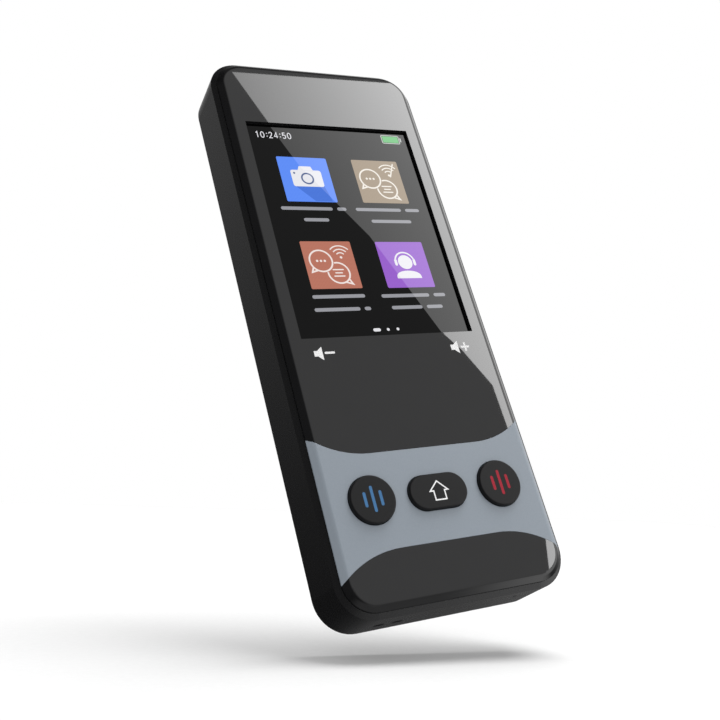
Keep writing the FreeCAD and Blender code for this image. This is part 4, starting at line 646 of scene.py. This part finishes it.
    def clock(self) -> None:
        """Draw a plain clock in digits."""
        wide, tall = self.digit
        turns = [math.tau * step / ARC_STEPS for step in range(ARC_STEPS)]
        round_loop = [(0.5 + 0.5 * math.cos(turn), 0.5 + 0.5 * math.sin(turn)) for turn in turns]
        shapes: dict[str, list[tuple[list[Point], bool]]] = {
            "0": [(round_loop, True)],
            "1": [([(0.2, 0.78), (0.6, 1.0), (0.6, 0.0)], False)],
            "2": [([(0.05, 0.76), (0.2, 0.93), (0.5, 1.0), (0.8, 0.93), (0.92, 0.72), (0.75, 0.5), (0.05, 0.0),
                    (0.98, 0.0)], False)],
            "4": [([(0.75, 0.0), (0.75, 1.0), (0.02, 0.28), (1.0, 0.28)], False)],
            "5": [([(0.9, 1.0), (0.18, 1.0), (0.1, 0.55), (0.5, 0.64), (0.85, 0.55), (0.95, 0.32), (0.8, 0.08),
                    (0.45, 0.0), (0.05, 0.12)], False)],
        }
        art = self.layer(1)
        x, z = self.clock_at
        for sign in "10:24:50":
            if sign == ":":
                for part in (0.25, 0.75):
                    art.disc((x + 0.25, z + tall * part), self.colon_dot)
                x += self.digit_pitch * 0.6
                continue
            for path, closed in shapes[sign]:
                art.stroke([(x + wide * across, z + tall * up) for across, up in path], self.digit_line, closed)
            x += self.digit_pitch
        art.piece("clock_digits", "casing", "display_cell", self.lit("clock", "#e8e8ec", "#d6d6dc"))

    def draw(self) -> None:
        """Draw the tiles, the label bars, the battery sign and the page marks."""
        for tile in Tile:
            low, high, colour, second = tile.value
            art = self.layer(0)
            art.rounded(low, high, self.tile_corner)
            art.piece(tile.name.lower() + "_tile", "casing", "display_cell",
                      self.lit(tile.name.lower() + " tile", colour, second))
        art = self.layer(1)
        half = self.label_height / 2
        for up, ends in self.labels:
            for place in range(0, len(ends), 2):
                art.bar((ends[place] + half, up), (ends[place + 1] - half, up), self.label_height)
        art.piece("label_bars", "casing", "display_cell", self.lit("label bar", "#9a9ba1", "#8b8c92"))
        art = self.layer(1)
        art.rounded(*self.battery_case)
        art.bar(*self.battery_tip)
        art.piece("battery_outline", "casing", "display_cell", self.lit("status sign", "#c4cbc6", "#b2bab4"))
        art = self.layer(1)
        art.rounded(*self.battery_fill)
        art.piece("battery_level", "casing", "display_cell", self.lit("battery level", "#6cc07a", "#5cb06a"))
        art = self.layer(1)
        art.bar(*self.page_bar)
        for dot in self.page_dots:
            art.disc(*dot)
        art.piece("page_marks", "casing", "display_cell", self.lit("page marks", "#e6e6ea", "#d8d8dc"))

    def build(self) -> None:
        """Dress the display and light its picture."""
        self.dress()
        self.draw()
        self.icons()
        self.clock()


@dataclass
class Electronics(Assembly):
    """Circuit board with its chips, shield, antenna, microphone, screws, battery and charging port."""

    finishes = {
        # Glass-epoxy laminate under green resist: tracks show as paler, slightly raised lines.
        Finish("Glass-epoxy board, under green resist", "#12402a", "#2b6d48", 0.3, Pattern.TRACKS, (3.1, 3.1, 2.3),
               depth=0.02, coat=0.3): ("main_board",),
        # Filled epoxy, transfer moulded: charcoal with a fine sandy surface.
        Finish("Epoxy chip package, moulded", "#202124", "#2c2d30", 0.6, size=(0.15, 0.15, 0.15), depth=0.008):
            ("processor", "memory_chip"),
        # Tinned steel, pressed: bright grey with faint rolling lines.
        Finish("Tinned steel, pressed", "#c4c6c4", "#aeb0ae", 0.28, size=(0.25, 0.25, 5.0), metallic=1.0,
               depth=0.002): ("rf_shield", "antenna"),
        # Steel, cold headed and zinc plated: cool grey with turning marks.
        Finish("Steel screw, zinc plated", "#9fa3a6", "#84888c", 0.3, size=(0.2, 0.2, 0.2), metallic=1.0,
               depth=0.004): ("board_screws",),
        # Brass can, nickel plated and etched.
        Finish("Nickel-plated brass, drawn", "#b7b1a3", "#a39d90", 0.25, size=(0.2, 0.2, 1.5), metallic=1.0,
               depth=0.002): ("microphone",),
        # Silicone rubber, moulded: matt dark grey.
        Finish("Silicone rubber, moulded", "#2a2a2c", "#343436", 0.75, size=(0.3, 0.3, 0.3), depth=0.01):
            ("microphone_boot", "speaker_gasket"),
        # Aluminium laminate pouch, pressed: silver with soft wrinkles.
        Finish("Aluminium laminate pouch, heat sealed", "#b8bbbf", "#8f9398", 0.35, size=(4.0, 4.0, 7.0),
               metallic=1.0, depth=0.12): ("battery_pack",),
        # PVC over stranded copper: red sheath with a soft gloss.
        Finish("PVC lead cover, extruded", "#a01c1c", "#8a1616", 0.35, size=(0.3, 0.3, 2.0), depth=0.004):
            ("battery_leads",),
        # Nylon, moulded: ivory with flow grain.
        Finish("Nylon plug, moulded", "#e4dfd0", "#d2ccba", 0.4, size=(0.3, 0.3, 0.9), depth=0.005):
            ("battery_plug", "battery_socket"),
        # Stainless shell, drawn: bright, with draw lines along its depth.
        Finish("Stainless steel shell, drawn", "#b4b6b8", "#989b9e", 0.24, size=(0.15, 0.15, 3.0), metallic=1.0,
               depth=0.002): ("usb_c_shell",),
        # Liquid crystal polymer with gilt contacts: black, banded where the contacts lie.
        Finish("Polymer tongue, moulded round gilt contacts", "#141415", "#8a6d2c", 0.35, Pattern.LINES,
               (0.5, 0.5, 0.5), depth=0.01): ("usb_c_tongue",),
    }


@dataclass
class Loudspeaker(Assembly):
    """Loudspeaker behind the polar grille, low on the back."""

    finishes = {
        # Glass-filled nylon: black with short pale fibres.
        Finish("Glass-filled nylon basket, moulded", "#18181a", "#26262a", 0.5, size=(0.2, 0.2, 1.0), depth=0.01):
            ("speaker_basket",),
        # Sintered ferrite or neodymium, nickel plated.
        Finish("Neodymium magnet, nickel plated", "#aeb0ad", "#989a97", 0.2, size=(1.0, 1.0, 1.0), metallic=1.0,
               depth=0.002): ("speaker_magnet",),
        # Mylar film, formed hot: dark and glossy with shallow ripples.
        Finish("Polyester cone film, thermoformed", "#232327", "#33333a", 0.2, Pattern.CELLS, (1.2, 1.2, 1.2),
               depth=0.02): ("speaker_cone",),
        # Nylon cloth, woven and blackened: its threads are drawn at 0.3 mm so that they show.
        Finish("Nylon mesh, woven", "#0c0c0d", "#3a3a3d", 0.6, Pattern.WEAVE, (0.3, 0.3, 0.3), depth=0.08):
            ("speaker_mesh",),
        # Phosphor bronze, stamped and gilt.
        Finish("Phosphor bronze pins, gilt", "#d8b25a", "#b8923e", 0.22, size=(0.2, 0.2, 1.0), metallic=1.0,
               depth=0.002): ("speaker_pins",),
    }


@dataclass
class RearCamera(Assembly):
    """Camera with its trim ring and window, and the lamp beside it."""

    middle: Point = (12.5, 122.2)
    ink_front: float = 6.75
    ink_film: float = 0.03
    ink_ring: Point = (3.35, 1.3)
    ink: Finish = Finish("Ink, screen printed in black", "#060607", "#0c0c0d", 0.4, size=(0.2, 0.2, 0.2))
    finishes = {
        # Polycarbonate, moulded matt black to kill stray light.
        Finish("Polycarbonate barrel, moulded", "#0d0d0e", "#18181a", 0.5, size=(0.2, 0.2, 0.2), depth=0.006):
            ("camera_base", "camera_barrel"),
        # Glass lens, ground and coated: dark with a violet bloom.
        Finish("Glass lens, ground and coated", "#0a0812", "#140f26", 0.02, Pattern.RINGS, (0.9, 0.9, 0.9),
               swing=0.01, coat=1.0, middle=(12.5, 4.0, 122.2)): ("camera_lens",),
        # Aluminium, turned and anodised black: fine rings that catch the light.
        Finish("Aluminium trim ring, turned and anodised", "#34363a", "#46494e", 0.28, Pattern.RINGS, (0.3, 0.3, 0.3),
               metallic=1.0, depth=0.003, middle=(12.5, 7.2, 122.2)): ("camera_trim",),
        # Glass disc, polished, with dark ink behind its edge: black and mirror smooth, and clear in the middle.
        Finish("Glass window, polished", "#ffffff", "#f6f8fa", 0.0, size=(8.0, 8.0, 8.0), swing=0.0, clear=1.0):
            ("camera_window",),
        # Phosphor over a lamp chip: chalky yellow.
        Finish("Phosphor over a lamp diode, dispensed", "#e2c64a", "#d6b636", 0.6, Pattern.CELLS, (0.3, 0.3, 0.3),
               depth=0.02): ("lamp_led",),
        # Polycarbonate light pipe with moulded prisms: frosted and clear.
        Finish("Polycarbonate light pipe, moulded", "#fbfbf6", "#f1f1ea", 0.25, Pattern.RINGS, (0.6, 0.6, 0.6),
               depth=0.04, clear=0.6, middle=(12.5, 4.3, 112.0)): ("lamp_lens",),
    }

    def build(self) -> None:
        """Dress the camera and print the black ring behind the edge of its window."""
        self.dress()
        art = FlatArt(self.ink_front, self.ink_film)
        art.ring(self.middle, *self.ink_ring)
        art.piece("camera_window_ink", "casing", "camera_window", self.ink)


@dataclass
class Studio:
    """White room, soft lamps, floor and the camera of the view."""

    camera_at: tuple[float, float, float] = (-107.77, -178.57, -26.74)
    right: tuple[float, float, float] = (0.8864, -0.3900, -0.2493)
    up: tuple[float, float, float] = (0.0522, -0.4509, 0.8911)
    forward: tuple[float, float, float] = (0.4599, 0.8029, 0.3793)
    lens: float = 49.5
    sensor: float = 36.0
    clip: Point = (0.005, 20.0)
    overhead: tuple[float, float, float] = (0.0015, -0.545, 0.8325)
    # What gloss sees: each panel of the room is a product of ramps over a direction's rise or its X, Y or Z, given
    # as from low, from high, level at low and level at high.
    panels: tuple[tuple[tuple[str, float, float, float, float], ...], ...] = (
        (("rise", -0.45, 0.35, 0.02, 0.85), ("X", -0.25, 0.32, 0.08, 1.0), ("Z", 0.64, 0.8, 1.0, 0.15)),
        (("rise", -0.45, 0.35, 0.02, 0.85), ("Y", 0.2, 0.6, 0.0, 0.24)),
        (("X", 0.5, 0.6, 0.0, 1.3), ("Y", -0.76, -0.68, 0.0, 1.0), ("Y", -0.35, 0.0, 1.0, 0.08)),
        (("X", 0.0, 0.45, 0.0, 0.08), ("Y", 0.45, 0.7, 0.0, 1.0)),
        (("X", 0.55, 0.85, 0.0, 0.6), ("Y", 0.3, 0.6, 0.0, 1.0)),
        (("Z", -0.8, -0.45, 0.4, 0.0),))
    ambient: float = 0.6
    # Name, direction of travel, strength, spread in degrees, and whether it casts a shadow.
    suns: tuple[tuple[str, tuple[float, float, float], float, float, bool], ...] = (
        ("key_lamp", (-0.48, 0.19, -0.95), 3.3, 42, True),
        ("front_fill", (0.1, 0.84, 0.55), 0.7, 40, False),
        ("left_fill", (0.8, 0.5, 0.33), 0.3, 40, False))
    floor_normal: tuple[float, float, float] = (0.15, -0.3645, 0.9258)
    floor_level: float = -9.4
    floor_reach: float = 900.0
    face: float = -6.7
    softbox_depth: float = -600.0
    softbox_edge: tuple[Point, ...] = (
        (-21.96, 132.91), (-16.01, 118.31), (-10.73, 106.05), (2.37, 86.6), (14.08, 59.52), (17.33, 55.47),
        (22.4, 46.21), (22.6, 37.47), (23.1, 10.5), (21.3, 3.4), (20.0, -2.0))
    softbox_right: float = 28.5
    softbox_slope: float = 0.018
    softbox_levels: tuple[Point, Point] = ((0.25, 4.0), (0.5, 9.6))
    paper: tuple[str, str] = ("#cccccc", "#c6c6c6")
    paper_glow: float = 0.15
    paper_fibre: float = 800.0

    def camera(self) -> None:
        """Set the camera to the viewing angle that was fitted to the outline of the body."""
        data = bpy.data.cameras.new("view_camera")
        data.lens = self.lens
        data.sensor_width = self.sensor
        data.clip_start, data.clip_end = self.clip
        camera = bpy.data.objects.new("view_camera", data)
        bpy.context.scene.collection.objects.link(camera)
        turn = Matrix((self.right, self.up, [-part for part in self.forward])).transposed()
        camera.rotation_mode = "QUATERNION"
        camera.rotation_quaternion = turn.to_quaternion()
        camera.location = Vector(self.camera_at) * MM
        bpy.context.scene.camera = camera

    def room(self) -> None:
        """Make a room that the camera sees as white, and that gloss sees as white overhead and dark below."""
        world = bpy.data.worlds.new("white_room")
        bpy.context.scene.world = world
        world.use_nodes = True
        tree = world.node_tree
        tree.nodes.clear()
        path = add(tree, "ShaderNodeLightPath").outputs
        heading = add(tree, "ShaderNodeTexCoord").outputs["Generated"]
        rise = add(tree, "ShaderNodeVectorMath", {"operation": "DOT_PRODUCT"},
                   {0: heading, 1: self.overhead}).outputs["Value"]
        axes = add(tree, "ShaderNodeSeparateXYZ", {}, {0: heading}).outputs
        ways = {"rise": rise, "X": axes["X"], "Y": axes["Y"], "Z": axes["Z"]}
        gloss = 0.0
        for panel in self.panels:
            level = 1.0
            for way, low, high, first, last in panel:
                ramp = add(tree, "ShaderNodeMapRange", {"interpolation_type": "SMOOTHSTEP"}, {
                    "Value": ways[way], "From Min": low, "From Max": high, "To Min": first,
                    "To Max": last}).outputs[0]
                level = add(tree, "ShaderNodeMath", {"operation": "MULTIPLY"}, {0: level, 1: ramp}).outputs[0]
            gloss = add(tree, "ShaderNodeMath", {"operation": "ADD"}, {0: gloss, 1: level}).outputs[0]
        mirrored = add(tree, "ShaderNodeMath", {"operation": "MAXIMUM"}, {
            0: path["Is Glossy Ray"], 1: path["Is Transmission Ray"]}).outputs[0]
        soft = add(tree, "ShaderNodeMix", {}, {
            "Factor": mirrored, LEVEL_A: self.ambient, LEVEL_B: gloss}).outputs[0]
        bounced = add(tree, "ShaderNodeMath", {"operation": "ADD"}, {
            0: path["Glossy Depth"], 1: path["Diffuse Depth"]}).outputs[0]
        straight = add(tree, "ShaderNodeMath", {"operation": "SUBTRACT", "use_clamp": True}, {
            0: path["Is Transmission Ray"], 1: bounced}).outputs[0]
        clear = add(tree, "ShaderNodeMath", {"operation": "MAXIMUM"}, {
            0: path["Is Camera Ray"], 1: straight}).outputs[0]
        level = add(tree, "ShaderNodeMix", {}, {"Factor": clear, LEVEL_A: soft, LEVEL_B: 1.0}).outputs[0]
        shade = add(tree, "ShaderNodeBackground", {}, {"Color": linear("#ffffff"), "Strength": level}).outputs[0]
        add(tree, "ShaderNodeOutputWorld", {}, {"Surface": shade})

    def lamps(self) -> None:
        """Hang a broad lamp overhead, edge-on to the slab, and two fills that graze the floor."""
        for name, travel, energy, spread, shades in self.suns:
            light = bpy.data.lights.new(name, "SUN")
            light.energy = energy
            light.angle = math.radians(spread)
            light.use_shadow = shades
            lamp = bpy.data.objects.new(name, light)
            bpy.context.scene.collection.objects.link(lamp)
            lamp.rotation_mode = "QUATERNION"
            lamp.rotation_quaternion = Vector(travel).to_track_quat("-Z", "Y")
            lamp.visible_glossy = False

    def stage_mesh(self, name: str, first: list[Vector], last: list[Vector],
                   material: bpy.types.Material) -> bpy.types.Object:
        """Make one flat stage piece as a strip between two edges.

        Args:
            name: Name of the piece.
            first: Points of its first edge in metres.
            last: Points of its other edge, in the same order.
            material: Its material.

        Returns:
            The stage object.
        """
        mesh = bpy.data.meshes.new(name)
        shape = bmesh.new()
        rows = [[shape.verts.new(point) for point in edge] for edge in (first, last)]
        for place in range(len(first) - 1):
            shape.faces.new((rows[0][place], rows[0][place + 1], rows[1][place + 1], rows[1][place]))
        shape.to_mesh(mesh)
        shape.free()
        piece = bpy.data.objects.new(name, mesh)
        bpy.context.scene.collection.objects.link(piece)
        mesh.materials.append(material)
        return piece

    def softbox(self) -> None:
        """Hang the softbox whose reflection crosses the face of the cover."""
        material = bpy.data.materials.new("Softbox, lit nylon")
        material.use_nodes = True
        tree = material.node_tree
        tree.nodes.clear()
        place = add(tree, "ShaderNodeTexCoord").outputs["Object"]
        across = add(tree, "ShaderNodeSeparateXYZ", {}, {0: place}).outputs["X"]
        (left, dim), (right, bright) = self.softbox_levels
        level = add(tree, "ShaderNodeMapRange", {}, {
            "Value": across, "From Min": left, "From Max": right, "To Min": dim, "To Max": bright}).outputs[0]
        light = add(tree, "ShaderNodeEmission", {}, {"Color": linear("#ffffff"), "Strength": level}).outputs[0]
        add(tree, "ShaderNodeOutputMaterial", {}, {"Surface": light})
        mirrored = Vector((self.camera_at[0], 2 * self.face - self.camera_at[1], self.camera_at[2]))
        reach = (self.softbox_depth - mirrored.y) / (self.face - mirrored.y)
        far_edge = [(self.softbox_right, z + (self.softbox_right - x) * self.softbox_slope)
                    for x, z in self.softbox_edge]
        edges = [[(mirrored + (Vector((x, self.face, z)) - mirrored) * reach) * MM for x, z in edge]
                 for edge in (self.softbox_edge, far_edge)]
        box = self.stage_mesh("softbox", edges[0], edges[1], material)
        box.visible_camera = box.visible_diffuse = box.visible_transmission = box.visible_shadow = False

    def floor(self) -> None:
        """Lay the pale floor, which shows the shadow and has no back."""
        material = bpy.data.materials.new("Paper floor, matt white")
        material.use_nodes = True
        tree = material.node_tree
        tree.nodes.clear()
        place = add(tree, "ShaderNodeTexCoord").outputs["Object"]
        fibre = add(tree, "ShaderNodeTexNoise", {}, {
            "Vector": place, "Scale": self.paper_fibre, "Detail": 2.0}).outputs["Fac"]
        colour = add(tree, "ShaderNodeMix", {"data_type": "RGBA"}, {
            "Factor": fibre, COLOUR_A: linear(self.paper[0]),
            COLOUR_B: linear(self.paper[1])}).outputs[COLOUR_OUT]
        matt = add(tree, "ShaderNodeBsdfDiffuse", {}, {"Color": colour}).outputs[0]
        glow = add(tree, "ShaderNodeEmission", {}, {
            "Color": linear("#ffffff"), "Strength": self.paper_glow}).outputs[0]
        paper = add(tree, "ShaderNodeAddShader", {}, {0: matt, 1: glow}).outputs[0]
        hole = add(tree, "ShaderNodeBsdfTransparent").outputs[0]
        back = add(tree, "ShaderNodeNewGeometry").outputs["Backfacing"]
        shown = add(tree, "ShaderNodeMixShader", {}, {0: back, 1: paper, 2: hole}).outputs[0]
        add(tree, "ShaderNodeOutputMaterial", {}, {"Surface": shown})
        normal = Vector(self.floor_normal).normalized()
        along = Vector((1.0, 0.0, 0.0)).cross(normal).normalized()
        across = along.cross(normal).normalized()
        middle = normal * self.floor_level
        reach = self.floor_reach
        edges = [[(middle + across * a * reach + along * b * reach) * MM for a in (-1, 1)] for b in (-1, 1)]
        floor = self.stage_mesh("floor", edges[0], edges[1], material)
        if floor.data.polygons[0].normal.dot(normal) < 0:
            floor.data.flip_normals()
        floor.visible_glossy = floor.visible_diffuse = floor.visible_transmission = floor.visible_shadow = False

    def build(self) -> None:
        """Set the whole studio."""
        bpy.context.scene.view_settings.view_transform = "Standard"
        self.camera()
        self.room()
        self.lamps()
        self.softbox()
        self.floor()


def main() -> None:
    """Build the studio and each sub-assembly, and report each."""
    logging.basicConfig(level=logging.INFO)
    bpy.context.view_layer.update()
    for part in (Studio(), Casing(), ControlKeys(), Display(), Electronics(), Loudspeaker(), RearCamera()):
        part.build()
        LOG.info("%s built", type(part).__name__)


if __name__ == "__main__":
    main()
